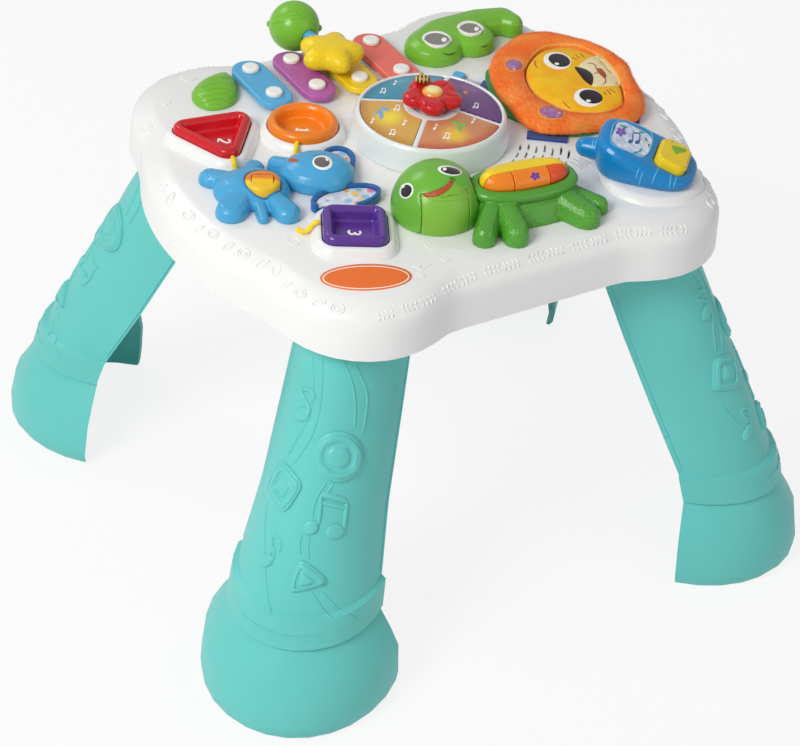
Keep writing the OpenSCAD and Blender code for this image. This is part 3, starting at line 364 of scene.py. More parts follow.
print("finishes:", len(finishes), "slots worn:", sorted(worn))

# %% [markdown]
# The frame's meshes arrive as loose triangles, so they would shade as flat facets. A small Geometry
# Nodes tree welds them and marks as sharp only the edges that turn by more than a set angle. That
# changes no vertex of the frame and leaves every crease that the real mould has.

# %% Smooth skins
def node_tree(name, *inputs):
    tree = bpy.data.node_groups.new(name, "GeometryNodeTree")
    tree.interface.new_socket("Geometry", in_out="INPUT", socket_type="NodeSocketGeometry")
    for label, kind, value in inputs:
        socket = tree.interface.new_socket(label, in_out="INPUT", socket_type="NodeSocket" + kind)
        if value is not None:
            socket.default_value = value
    tree.interface.new_socket("Geometry", in_out="OUTPUT", socket_type="NodeSocketGeometry")
    return tree


def grow(tree, kind, sockets=None, outlet=0, **settings):
    """Adds one node to a Geometry Nodes tree and returns its outlet."""
    made = tree.nodes.new(kind)
    for name, value in settings.items():
        setattr(made, name, value)
    for where, value in (sockets or {}).items():
        if isinstance(value, bpy.types.NodeSocket):
            tree.links.new(value, made.inputs[where])
        else:
            made.inputs[where].default_value = value
    return made.outputs[outlet]


def set_inputs(modifier, **values):
    """Sets a modifier's inputs by their names."""
    for item in modifier.node_group.interface.items_tree:
        key = item.name.replace(" ", "_")
        if getattr(item, "in_out", "") == "INPUT" and key in values:
            modifier[item.identifier] = values[key]


WELD_WITHIN = 0.01 * MM
SHARP_ABOVE = math.radians(34)
weld = node_tree("smooth_skin", ("Weld", "Float", WELD_WITHIN), ("Sharp above", "Float", SHARP_ABOVE))
start = weld.nodes.new("NodeGroupInput")
turned = grow(weld, "GeometryNodeInputMeshEdgeAngle")
sharp = grow(weld, "ShaderNodeMath", {0: turned, 1: start.outputs["Sharp above"]}, operation="GREATER_THAN")
welded = grow(weld, "GeometryNodeMergeByDistance",
              {"Geometry": start.outputs["Geometry"], "Distance": start.outputs["Weld"]})
skinned = grow(weld, "GeometryNodeSetMeshNormal",
               {"Mesh": welded, "Remove Custom": True, "Edge Sharpness": sharp, "Face Sharpness": False})
weld.links.new(skinned, weld.nodes.new("NodeGroupOutput").inputs[0])
print("skins: welded within", round(WELD_WITHIN / MM, 3), "mm")

# %% Puffy forms
# Voxel size in mm and rounds of smoothing for the puffy forms, whose creases are soft on the real toy.
puffy = {
    "turtle_body": (0.6, 4), "turtle_head": (0.8, 4), "turtle_jaw": (0.7, 3), "elephant_body": (0.8, 6),
    "elephant_head": (0.8, 6), "ear_frames": (0.55, 3), "ear_inserts": (0.6, 2), "leaf": (0.7, 6),
    "figure_body": (0.9, 7), "phone_body": (0.55, 3), "call_button": (0.4, 6), "mallet_star": (0.7, 6),
    "mallet_ball": (0.8, 3),
    "flower_button": (0.5, 4), "flower_centre": (0.4, 3), "bee": (0.35, 3), "switch_knob": (0.35, 2),
    "bar_pins": (0.45, 3), "balloon_strings": (0.4, 2), "belly_roller": (0.4, 2), "dome_body": (0.8, 2),
    **{"key_" + key: (0.35, 6) for key in ("yellow", "orange", "swirl", "red")},
    **{"bar_" + bar: (0.7, 2) for bar in ("blue", "purple", "yellow", "red")},
    **{button + "_button": (0.6, 3) for button in ("triangle", "square", "round")},
}
for name, thing in nodes.items():
    skin_mod = thing.modifiers.new("smooth_skin", "NODES")
    skin_mod.node_group = weld
    if name in puffy:
        voxel, rounds = puffy[name]
        remesh = thing.modifiers.new("voxels", "REMESH")
        remesh.mode, remesh.voxel_size, remesh.use_smooth_shade = "VOXEL", voxel * MM, True
        soften = thing.modifiers.new("soften", "SMOOTH")
        soften.factor, soften.iterations = 0.5, rounds
print("smooth skins:", len(nodes), "of them puffy:", len(puffy))


# %% [markdown]
# Ornament, eyes and prints all follow the surface under them. A drawing is a row of flat spots on an
# enlarged `Sheet`, and a `Surface` says where each spot lands on the finished skins, either along the
# camera's line of sight or straight down onto the deck. A bead is a half-round line laid on that
# surface; a patch is a filled, slightly crowned shape. Both are closed and sunk a little, so no gap
# shows from any side.

# %% Smooth runs
def spun(points, angle, wide, high, x, y):
    """Flat points turned by an angle in degrees, stretched and moved to (x, y)."""
    c, s = math.cos(math.radians(angle)), math.sin(math.radians(angle))
    return [(x + wide * (p * c - q * s), y + high * (p * s + q * c)) for p, q in points]


def oval(u, v, a, b, tilt=0, count=28):
    c, s = math.cos(math.radians(tilt)), math.sin(math.radians(tilt))
    spots = [(a * math.cos(2 * math.pi * k / count), b * math.sin(2 * math.pi * k / count))
             for k in range(count)]
    return [(u + x * c - y * s, v + x * s + y * c) for x, y in spots]


def circle(count):
    """The angles of a full turn in even steps."""
    return [2 * math.pi * k / count for k in range(count)]


def curve(p, q, r, s, t):
    """A point between q and r on the smooth run through p, q, r and s."""
    return 0.5 * (2 * q + (r - p) * t + (2 * p - 5 * q + 4 * r - s) * t * t
                  + (3 * q - p - 3 * r + s) * t ** 3)


def flow(points, count, closed=False):
    """A smooth run through the points, in `count` even steps."""
    if closed:
        ring = [points[-1]] + list(points) + [points[0], points[1]]
    else:
        ring = [points[0]] + list(points) + [points[-1]]
    fine = [tuple(curve(*four, k / 12) for four in zip(a, b, c, d))
            for a, b, c, d in zip(ring, ring[1:], ring[2:], ring[3:]) for k in range(12)]
    if not closed:
        fine.append(tuple(points[-1]))
    reach = [0.0]
    for a, b in zip(fine, fine[1:] + ([fine[0]] if closed else [])):
        reach.append(reach[-1] + math.dist(a, b))
    total, out, j = reach[-1], [], 0
    for k in range(count):
        aim = total * k / (count if closed else count - 1)
        while j < len(reach) - 2 and reach[j + 1] < aim:
            j += 1
        a, b = fine[j], fine[(j + 1) % len(fine)]
        t = (aim - reach[j]) / max(reach[j + 1] - reach[j], 1e-9)
        out.append(tuple(p + (q - p) * t for p, q in zip(a, b)))
    return out


print("a run through three spots has", len(flow([(0, 0), (1, 1), (2, 0)], 5)), "steps")


# %% Sheets and surfaces
class Sheet:
    """An enlarged drawing sheet, whose spots become spots of the picture."""

    def __init__(self, left, top, scale):
        self.left, self.top, self.scale = left, top, scale

    def __call__(self, x, y):
        return self.left + x / self.scale, self.top + y / self.scale

    def run(self, points, count=30, closed=False):
        return flow([self(*p) for p in points], count, closed)

    def oval(self, x, y, a, b, tilt=0, count=32):
        return [self(p, q) for p, q in oval(x, y, a, b, tilt, count)]

    def rounded(self, corners, cut=0.25, count=48):
        """A many-cornered outline with round corners."""
        spots = []
        for a, b, c in zip([corners[-1]] + corners[:-1], corners, corners[1:] + [corners[0]]):
            spots += [tuple(q + (p - q) * cut for p, q in zip(a, b)),
                      tuple(q + (p - q) * cut * 0.25 + (r - q) * cut * 0.25 for p, q, r in zip(a, b, c)),
                      tuple(q + (r - q) * cut for q, r in zip(b, c))]
        return self.run(spots, count, True)


class Surface:
    """Where flat spots land on the finished skins of some nodes or pieces."""

    def __init__(self, *things, how="seen", at=(0, 0), turned=0):
        graph = bpy.context.evaluated_depsgraph_get()
        self.trees = [BVHTree.FromObject(nodes.get(t, None) or bpy.data.objects[t], graph) for t in things]
        self.how, self.at, self.turned = how, at, math.radians(turned)

    def cast(self, start, way):
        """The first spot that a ray meets, with its normal turned against the ray."""
        hits = [h for h in (tree.ray_cast(start, way) for tree in self.trees) if h[0]]
        if not hits:
            return None
        spot, normal = min(hits, key=lambda h: h[3])[:2]
        return spot, (normal if normal.dot(way) < 0 else -normal)

    def __call__(self, u, v):
        if self.how == "seen":
            return self.cast(eye, sight(u, v))
        c, s = math.cos(self.turned), math.sin(self.turned)
        x, y = self.at[0] + u * c - v * s, self.at[1] + u * s + v * c
        return self.cast(Vector((x * MM, y * MM, 0.5)), Vector((0, 0, -1)))


deck_spot, deck_normal = Surface("top_shell", how="down")(-40, 100)
print("the deck lies", round(deck_spot.z / MM, 1), "mm above the floor")

# %% Beads and patches
BEAD_SINK = 0.35
PATCH_SINK = 0.4


def half_round(middle, side, up, w, h, sink, sides):
    """Ring of a half-round line: `w` to each side, `h` proud and `sink` under the surface."""
    turns = [(math.cos(t), math.sin(t)) for t in circle(sides)]
    return [middle + side * (w * c) + up * (h * s if s > 0 else sink * s) for c, s in turns]


class Carving:
    """One mesh that gathers beads and patches, then becomes a piece."""

    def __init__(self):
        self.mesh = bmesh.new()

    def rings(self, rings, closed_run=False):
        """Skins a row of rings, with a cap at each end unless the row closes on itself."""
        rows = [[self.mesh.verts.new(p) for p in ring] for ring in rings]
        count = len(rows[0])
        pairs = list(zip(rows, rows[1:])) + ([(rows[-1], rows[0])] if closed_run else [])
        for low, high in pairs:
            for k in range(count):
                self.mesh.faces.new((low[k], low[(k + 1) % count], high[(k + 1) % count], high[k]))
        if not closed_run:
            self.mesh.faces.new(rows[0][::-1])
            self.mesh.faces.new(rows[-1])
        return self

    def bead(self, surface, spots, width, height, closed=False, taper=1, sides=9):
        """A half-round line, `width` and `height` in mm, along flat spots."""
        path = [found for found in (surface(*s) for s in spots) if found]
        if len(path) < 2:
            return self
        rings, last = [], len(path) - 1
        for k, (p, n) in enumerate(path):
            a = path[(k - 1) % len(path)] if closed else path[max(k - 1, 0)]
            b = path[(k + 1) % len(path)] if closed else path[min(k + 1, last)]
            side = n.cross(b[0] - a[0])
            if side.length < 1e-9:
                continue
            side.normalize()
            ends = 1.0 if closed else min(1.0, 0.25 + 0.75 * min(k, last - k) / taper)
            w, h = width * MM / 2 * ends, height * MM * ends
            rings.append(half_round(p, side, n, w, h, BEAD_SINK * MM, sides))
        if len(rings) > 1:
            self.rings(rings, closed)
        return self

    def beads(self, surface, sheet, runs, count, width, height, **more):
        """One bead along each run of a drawing sheet."""
        for run in runs:
            self.bead(surface, sheet.run(run, count), width, height, **more)
        return self

    def stamp(self, surface, outline, profile, centre=None):
        """A form in steps: `profile` lists its share of the outline and its height in mm, from the rim in."""
        cu = centre[0] if centre else sum(p[0] for p in outline) / len(outline)
        cv = centre[1] if centre else sum(p[1] for p in outline) / len(outline)
        rows = []
        for share, lift in profile:
            row = []
            for u, v in outline:
                found = surface(cu + (u - cu) * share, cv + (v - cv) * share)
                if not found:
                    print("a form missed its surface at", round(u), round(v))
                    return self
                row.append(found[0] + found[1] * lift * MM)
            rows.append(row)
        return self.rings(rows)

    def patch(self, surface, outline, height, crown=0.4, steps=4):
        """A filled shape: `height` mm at its rim's top, `crown` mm more in its middle."""
        rim = [(1.0, -PATCH_SINK), (1.0, height * 0.55), (0.985, height * 0.9)]
        cap = [(1 - 0.96 * k / steps, height + crown * (1 - (1 - k / steps) ** 2))
               for k in range(1, steps + 1)]
        return self.stamp(surface, outline, rim + cap)

    def repeat(self, *changes):
        """Adds copies of everything drawn so far, each moved by one matrix."""
        first = list(self.mesh.verts) + list(self.mesh.edges) + list(self.mesh.faces)
        for change in changes:
            copied = bmesh.ops.duplicate(self.mesh, geom=first)["geom"]
            points = [g for g in copied if isinstance(g, bmesh.types.BMVert)]
            bmesh.ops.transform(self.mesh, matrix=change, verts=points)
        return self

    def end(self, name):
        """Ends the drawing and returns its mesh."""
        bmesh.ops.recalc_face_normals(self.mesh, faces=self.mesh.faces)
        data = bpy.data.meshes.new(name)
        self.mesh.to_mesh(data)
        self.mesh.free()
        return data

    def make(self, name, material, **more):
        """Ends the drawing as a piece."""
        bmesh.ops.remove_doubles(self.mesh, verts=self.mesh.verts, dist=1e-7)
        return as_piece(name, self.end(name), material, **more)


print("beads sink", BEAD_SINK, "mm and patches", PATCH_SINK, "mm")


# %% Pieces
def as_piece(name, data, material, body="table", slot="housing_white", smooth=True, flat_above=50,
             replaces=()):
    """Makes a mesh a piece that rides on a body."""
    piece = bpy.data.objects.new(name, data)
    scene.collection.objects.link(piece)
    data.materials.clear()
    data.materials.append(material)
    if smooth:
        data.shade_smooth()
        data.set_sharp_from_angle(angle=math.radians(flat_above))
    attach(piece, body)
    if replaces:
        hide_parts(*replaces)
    print("made", name, len(data.polygons), "faces")
    return piece


white_gloss = moulded("white_gloss", "#fbfaf6", 0.16, FINE, coat=0.6)
eye_black = moulded("eye_black", "#181315", 0.12, FINE, coat=0.8)
print("two glossy inks for eyes")

# %% [markdown]
# The lion is a flat plush pad: a stuffed ring of short orange fur, its mane, around a padded yellow
# face with a felt sheet behind it. Stuffing makes cloth swell between its seams, so both pads start a
# little thin, are remeshed evenly and blown up by a short cloth simulation while their seams are held.

# %% Lion outlines
LION_LOW = 311.6
MANE_LEVEL, FACE_LEVEL = 317, 321
SPOKES = 96
mane_spots = [
    (489.8, 64), (494, 53), (503, 44), (514.4, 36.4), (530, 32), (551, 32.4), (572, 37.5), (589, 43.3),
    (605, 49), (620, 57.1), (629, 65), (633, 75.4), (640, 88), (645.5, 100.7), (644, 111), (634, 120),
    (615, 126), (596, 128.2), (580, 130.5), (560.4, 131.7), (542, 131), (531.7, 127.1), (523, 122),
    (514.4, 112.2), (507, 102), (499.5, 95), (492.5, 81), (489.2, 71)]
face_spots = [
    (525.9, 65.1), (534, 53.6), (544.3, 46.7), (560.4, 44.4), (577.6, 45.6), (594.8, 52.5),
    (606.3, 60.5), (616.6, 73.1), (623.5, 88.1), (624.6, 100.7), (615.5, 108.7), (600.5, 112.2),
    (577.6, 112.2), (563.8, 108.7), (548.9, 101.8), (537.4, 95), (530.5, 86.9), (525.9, 76.6)]


def on_level(u, v, z):
    """Where the line of sight through a spot crosses height z (mm)."""
    way = sight(u, v)
    return eye + way * ((z * MM - eye.z) / way.z)


lion_middle = on_level(575, 79, 322)


def reach_of(spots, level):
    """Distance from the lion's middle to an outline, along each spoke."""
    ring = [on_level(u, v, level) - lion_middle for u, v in flow(spots, 400, True)]
    polar = sorted((math.atan2(p.y, p.x) % (2 * math.pi), math.hypot(p.x, p.y)) for p in ring)
    out = []
    for a in circle(SPOKES):
        out.append(min(polar, key=lambda q: abs((q[0] - a + math.pi) % (2 * math.pi) - math.pi))[1])
    return [(out[k - 1] + 2 * out[k] + out[(k + 1) % SPOKES]) / 4 for k in range(SPOKES)]


mane_reach = reach_of(mane_spots, MANE_LEVEL)
face_reach = reach_of(face_spots, FACE_LEVEL)
print("lion:", round(max(mane_reach) / MM), "mm to the mane's edge,",
      round(max(face_reach) / MM), "mm to the face's")

# %% Plumping by simulation
PAD_VOXEL = 2.6
PRESSURE = 4
FRAMES = 20


def settled(thing):
    """A mesh with all modifiers of an object applied."""
    return bpy.data.meshes.new_from_object(thing.evaluated_get(bpy.context.evaluated_depsgraph_get()))


def plump(piece, cap, held):
    """Remeshes a pad evenly, blows it up with its seams held and caps how far any point moves."""
    remesh = piece.modifiers.new("even", "REMESH")
    remesh.mode, remesh.voxel_size = "VOXEL", PAD_VOXEL * MM
    even = settled(piece)
    piece.modifiers.clear()
    piece.data = even
    group = piece.vertex_groups.new(name="held")
    group.add([v.index for v in even.vertices if held(v.co)], 1.0, "REPLACE")
    rest = [v.co.copy() for v in even.vertices]
    cloth = piece.modifiers.new("stuffing", "CLOTH")
    cloth.settings.use_pressure, cloth.settings.uniform_pressure_force = True, PRESSURE
    cloth.settings.effector_weights.gravity = 0
    cloth.settings.vertex_group_mass = "held"
    cloth.settings.quality = 4
    for moment in range(1, FRAMES + 1):
        scene.frame_set(moment)
    blown = settled(piece)
    piece.modifiers.clear()
    piece.vertex_groups.clear()
    scene.frame_set(1)
    for v, start_at in zip(blown.vertices, rest):
        move = v.co - start_at
        if move.length > cap * MM:
            v.co = start_at + move.normalized() * cap * MM
    piece.data = blown
    print("plumped", piece.name, len(blown.vertices), "points")


print("stuffing:", FRAMES, "frames of cloth, points", PAD_VOXEL, "mm apart")


# %% Pads from rings
def ring_pad(name, rows, closed_run=False):
    """A closed pad from rings of points."""
    piece = bpy.data.objects.new(name, Carving().rings(rows, closed_run).end(name))
    scene.collection.objects.link(piece)
    return piece


def mane_ring(share, height, wrinkle=0.0):
    """Ring between the face's edge (0) and the mane's edge (1), at a height above the pad's underside."""
    ring = []
    for a, low, high in zip(circle(SPOKES), face_reach, mane_reach):
        fold = wrinkle * (math.sin(9 * a + 1.3) + 0.6 * math.sin(17 * a) + 0.5 * math.sin(29 * a + 2))
        r = low + (high - low) * share
        ring.append(Vector((lion_middle.x + r * math.cos(a), lion_middle.y + r * math.sin(a),
                            (LION_LOW + height + fold) * MM)))
    return ring


def face_ring(share, height):
    """Ring of the face at a share of its outline, at a height above the pad's underside."""
    lift = Vector((0, 0, (LION_LOW + height) * MM - lion_middle.z))
    return [lion_middle + Vector((math.cos(a), math.sin(a), 0)) * (edge - SEAM * MM) * share + lift
            for a, edge in zip(circle(SPOKES), face_reach)]


print("each ring has", SPOKES, "points")

# %% Mane and face pads
# Profile of the mane as share, height and depth of its folds, from the face's edge over the top and back.
mane_profile = [(0.0, 1.4), (0.0, 7.2), (0.06, 8.8, 0.1), (0.2, 10.2, 0.25), (0.42, 11.0, 0.35),
                (0.64, 10.0, 0.4), (0.82, 8.0, 0.35), (0.94, 5.4, 0.2), (0.985, 2.6), (0.93, 0.5), (0.5, 0.2)]
face_profile = [(0.5, 1.2), (0.97, 1.5), (1.0, 4), (1.0, 6.2), (0.97, 8.0), (0.86, 9.8), (0.66, 11.0),
                (0.4, 11.9), (0.12, 12.2)]
SEAM = 0.7


def share_of(co):
    """How far a point lies from the face's edge towards the mane's edge."""
    x, y = co.x - lion_middle.x, co.y - lion_middle.y
    k = round(math.atan2(y, x) % (2 * math.pi) / (2 * math.pi) * SPOKES) % SPOKES
    return (math.hypot(x, y) - face_reach[k]) / (mane_reach[k] - face_reach[k])


def in_mane_seam(co):
    return share_of(co) < 0.07 or co.z < (LION_LOW + 1.2) * MM or share_of(co) > 0.965


lion_mane = ring_pad("lion_mane", [mane_ring(*row) for row in mane_profile], closed_run=True)
plump(lion_mane, 3.0, in_mane_seam)
lion_face = ring_pad("lion_face", [face_ring(*row) for row in face_profile])
plump(lion_face, 2.0, lambda co: co.z < (LION_LOW + 6.4) * MM)
for pad in (lion_mane, lion_face):
    smoother = pad.modifiers.new("smoother", "SUBSURF")
    smoother.levels = smoother.render_levels = 1
    pad.data.shade_smooth()
print("pads:", len(lion_mane.data.polygons), "and", len(lion_face.data.polygons), "faces")

# %% [markdown]
# Plush is lit fibre: pale where the pile stands towards the light and deep between the tufts, so the
# colour follows a fine noise, with a wider cloud over it for brushed patches. The woven face cloth has
# crossed threads half a millimetre apart. Sheen gives both the soft bright edge of real fabric.

# %% Fabric finishes
def fabric(name, dark, light, thread, weave, pile, sheen):
    """Cloth with threads `thread` mm apart; `weave` and `pile` say how far weave and fibre show."""
    made = Finish(name, Sheen_Weight=sheen, Sheen_Roughness=0.45, Specular_IOR_Level=0.25)
    spot = made.place()
    brushed = made.noise(55, 4, 0.6, spot)
    fibre = made.noise(1500, 2, 0.7, spot)
    pitch = 2 * math.pi / (thread * MM)
    warp = (made.part(spot, "X") * pitch).sum("SINE")
    weft = (made.part(spot, "Y") * pitch).sum("SINE")
    cloth_height = abs(warp) * abs(weft) * weave + fibre * pile
    tone = made.mix(made.step(brushed, 0.3, 0.7), shade(dark, 1), shade(light, 1))
    # Painted highlight: a paler copy of the light colour where the fine fibre noise is high, for pile tips
    # catching the light.
    tone = made.mix(0.35 * fibre, tone, shade(light, 1.25))
    made.give(Base_Color=tone, Roughness=0.78 + 0.1 * fibre, Normal=made.bump(cloth_height, 0.00012, 0.7))
    return made.material


plush_orange = fabric("plush_orange", "#ff7a22", "#ffa650", 0.9, 0.1, 1.6, 0.22)
cloth_yellow = fabric("cloth_yellow", "#ffa814", "#ffcb1f", 0.55, 0.8, 0.3, 0.06)
cloth_cream = fabric("cloth_cream", "#f8dfa0", "#fdecc0", 0.55, 0.8, 0.3, 0.25)
cloth_dark = fabric("cloth_dark", "#1d1518", "#2b2023", 0.55, 0.6, 0.3, 0.15)
cloth_white = fabric("cloth_white", "#f6f5f0", "#ffffff", 0.55, 0.5, 0.3, 0.2)
cloth_brown = fabric("cloth_brown", "#9a3f1f", "#b9552c", 0.55, 0.6, 0.3, 0.15)
felt_green = fabric("felt_green", "#2c8146", "#3f9a57", 0.8, 0.2, 1.2, 0.4)
ribbon_blue = fabric("ribbon_blue", "#20397f", "#2f4c9b", 0.7, 1.2, 0.2, 0.3)
thread_gold = fabric("thread_gold", "#f3a93a", "#f9c260", 0.4, 0.6, 0.4, 0.2)
print("fabrics: plush, five cloths, felt, ribbon and thread")

# %% [markdown]
# The fur's short fibres catch light at the mane's outline, which no bump can fake. A Geometry Nodes
# tree scatters thousands of tiny bent blades over the pad, leans them outwards and joins them into one
# plain mesh.

# %% Fur fibres
FUR_SEED = 7
BLADES_PER_M2 = 1.35e6
fur = node_tree("fur", ("Blades", "Object", None), ("Per square metre", "Float", BLADES_PER_M2),
                ("Seed", "Int", FUR_SEED), ("Material", "Material", None))
fur_in = fur.nodes.new("NodeGroupInput")
points = fur.nodes.new("GeometryNodeDistributePointsOnFaces")
fur.links.new(fur_in.outputs["Geometry"], points.inputs["Mesh"])
fur.links.new(fur_in.outputs["Per square metre"], points.inputs["Density"])
fur.links.new(fur_in.outputs["Seed"], points.inputs["Seed"])
blade_info = grow(fur, "GeometryNodeObjectInfo", {"Object": fur_in.outputs["Blades"]}, "Geometry")
wild = grow(fur, "FunctionNodeRandomValue",
            {0: (-0.55, -0.55, 0.55), 1: (0.55, 0.55, 1.3), "Seed": fur_in.outputs["Seed"]},
            data_type="FLOAT_VECTOR")
where = grow(fur, "GeometryNodeInputPosition")
from_middle = grow(fur, "ShaderNodeVectorMath", {0: where, 1: tuple(lion_middle)}, operation="SUBTRACT")
outward = grow(fur, "ShaderNodeVectorMath", {0: from_middle, "Scale": 16.0}, operation="SCALE")
standing = grow(fur, "ShaderNodeVectorMath", {0: points.outputs["Normal"], "Scale": 1.1}, operation="SCALE")
lean = grow(fur, "ShaderNodeVectorMath", {0: standing, 1: outward}, operation="ADD")
lean = grow(fur, "ShaderNodeVectorMath", {0: lean, 1: wild}, operation="ADD")
aimed = grow(fur, "FunctionNodeAlignRotationToVector", {"Vector": lean}, axis="Z")
sizes = grow(fur, "FunctionNodeRandomValue", {2: 0.7, 3: 1.25, "Seed": fur_in.outputs["Seed"]}, 1,
             data_type="FLOAT")
tufts = grow(fur, "GeometryNodeInstanceOnPoints", {"Points": points.outputs["Points"],
                                                   "Instance": blade_info, "Rotation": aimed, "Scale": sizes})
real = grow(fur, "GeometryNodeRealizeInstances", {"Geometry": tufts})
painted = grow(fur, "GeometryNodeSetMaterial", {"Geometry": real, "Material": fur_in.outputs["Material"]})
fur.links.new(painted, fur.nodes.new("NodeGroupOutput").inputs[0])

blade_mesh = bpy.data.meshes.new("blade")
blade_mesh.from_pydata([(-0.00028, 0, -0.0004), (0.00028, 0, -0.0004), (0, 0.0002, 0.0009),
                        (0.0001, 0.0007, 0.0019)], [], [(0, 1, 2), (1, 3, 2)])
blade = bpy.data.objects.new("blade", blade_mesh)
coat = bpy.data.objects.new("coat", settled(lion_mane))
for helper in (blade, coat):
    scene.collection.objects.link(helper)
tufting = coat.modifiers.new("fur", "NODES")
tufting.node_group = fur
set_inputs(tufting, Blades=blade, Per_square_metre=BLADES_PER_M2, Seed=FUR_SEED, Material=plush_orange)
fur_mesh = settled(coat)
for helper in (blade, coat):
    bpy.data.objects.remove(helper)
bpy.data.node_groups.remove(fur)
print("fur:", len(fur_mesh.polygons), "faces")

# %% Lion pieces
for pad, cloth, fill in ((lion_mane, plush_orange, 0.7), (lion_face, cloth_yellow, 0.75)):
    pad.data.materials.clear()
    pad.data.materials.append(cloth)
    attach(pad, "table")
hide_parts("lion_pad")
as_piece("lion_fibres", fur_mesh, plush_orange, slot="fur_orange", smooth=False)

# %% Lion's face
on_face = Surface("lion_face", "lion_mane")
lion_sheet = Sheet(480, 10, 8.711)
muzzle_outline = [(862, 492), (915, 440), (985, 404), (1060, 400), (1110, 445), (1165, 515), (1205, 590),
                  (1222, 655), (1150, 662), (1060, 664), (985, 664), (930, 600)]
nose_outline = [(823, 500), (862, 500), (905, 512), (950, 535), (980, 565), (988, 605), (975, 655),
                (948, 645), (905, 610), (865, 560)]
tongue_outline = [(1014, 514), (1045, 508), (1075, 528), (1097, 562), (1097, 592), (1062, 573), (1030, 548)]
stitched_runs = [[(985, 556), (1008, 550), (1028, 546)],
                 [(925, 470), (965, 464), (1002, 480), (1014, 514), (1028, 546)],
                 [(1028, 546), (1060, 572), (1092, 600), (1092, 628), (1078, 645), (1052, 648)],
                 [(484, 438), (478, 465), (490, 490), (508, 503)],
                 [(716, 796), (742, 820), (770, 845), (800, 858)],
                 [(795, 410), (825, 425), (850, 437)], [(826, 385), (850, 405), (872, 422)],
                 [(866, 375), (890, 395), (908, 415)], [(1075, 710), (1092, 730), (1100, 745)],
                 [(1097, 690), (1120, 712), (1145, 746)], [(1122, 684), (1150, 700), (1182, 724)]]


def lion_ovals(height, crown, *ovals):
    """Patches on the lion, each given as middle, half axes, tilt and number of corners."""
    carving = Carving()
    for shape in ovals:
        carving.patch(on_face, lion_sheet.oval(*shape), height, crown)
    return carving


muzzle = Carving().patch(on_face, lion_sheet.run(muzzle_outline, 44, True), 0.12, 0.25)
muzzle.make("lion_muzzle", cloth_cream, slot="fur_orange")
whites = lion_ovals(0.2, 0.25, (674, 441, 122, 74, 9), (942, 763, 124, 79, 7))
whites.make("lion_eye_whites", cloth_white, slot="pin_white")
blacks = lion_ovals(0.38, 0.3, (690, 440, 97, 56, 13), (965, 757, 104, 60, 11))
blacks.patch(on_face, lion_sheet.run(nose_outline, 36, True), 0.35, 0.9)
blacks.make("lion_eyes_and_nose", cloth_dark, slot="speaker_black")
glints = lion_ovals(0.62, 0.1, (670, 473, 21, 10, 5, 16), (945, 795, 22, 11, 5, 16))
glints.make("lion_eye_glints", cloth_white, slot="pin_white")
tongue = Carving()
tongue.patch(Surface("lion_face", "lion_muzzle"), lion_sheet.run(tongue_outline, 24, True), 0.25, 0.2)
tongue.make("lion_tongue", cloth_brown, slot="orange_red")
on_muzzle = Surface("lion_face", "lion_mane", "lion_muzzle")
lines = Carving().beads(on_muzzle, lion_sheet, stitched_runs, 14, 1.0, 0.35, taper=3, sides=7)
lines.make("lion_stitched_lines", cloth_brown, slot="orange_red")
piping = Carving().bead(on_face, flow(face_spots, 150, True), 1.6, 0.55, closed=True, sides=7)
for shape in ((297, 480, 82, 56, 4, 36), (625, 893, 116, 57, 8, 36)):
    piping.bead(on_face, lion_sheet.oval(*shape), 1.3, 0.6, closed=True, sides=7)
piping.make("lion_piping", thread_gold, slot="fur_orange")

# %% [markdown]
# The lion's ears are satin ovals with a small scattered print. A Voronoi pattern gives round dots of
# several inks without any picture.

# %% Printed satin
def dotted(name, ground, inks, scale, size, gloss=0.35):
    """Print of round dots in several inks, picked at random by the cells of a Voronoi pattern."""
    made = Finish(name, Sheen_Weight=0.2)
    spot = made.place()
    sockets = {"Vector": spot, "Scale": scale, "Randomness": 0.75}
    cells = made.node("ShaderNodeTexVoronoi", {"feature": "F1"}, sockets, "Distance")
    pick = made.part(made.node("ShaderNodeTexVoronoi", {"feature": "F1"}, sockets, "Color"), "X")
    stops = [(k / len(inks), rgb(ink)) for k, ink in enumerate(inks)]
    ink = made.node("ShaderNodeValToRGB", {"stops": stops}, {0: pick}, "Color")
    made.tree.nodes[-1].color_ramp.interpolation = "CONSTANT"
    cloud = made.noise(160, 2, 0.5, spot)
    base = made.mix(made.step(cloud, 0.35, 0.65), shade(ground, 0.85), shade(ground, 1.1))
    made.give(Base_Color=made.mix(made.step(cells, size, size * 0.8), base, ink),
              Roughness=gloss + 0.1 * cloud, Normal=made.bump(made.noise(1800, 1, 0.5, spot), 0.00005, 0.5))
    return made.material


satin = dotted("ear_satin", "#a36fb4", ["#e0508f", "#5a6ec8", "#f0c4dd", "#8f9ce0"], 260, 0.42)
ears = lion_ovals(0.3, 0.5, (297, 480, 74, 49, 4), (625, 893, 106, 49, 8))
ears.make("lion_ear_patches", satin, slot="magenta")

# %% [markdown]
# Each leg carries the same raised music: notes, a round, a square and a three-cornered button, and
# staves that wind between them. It is drawn once on one leg and turned to the other three.

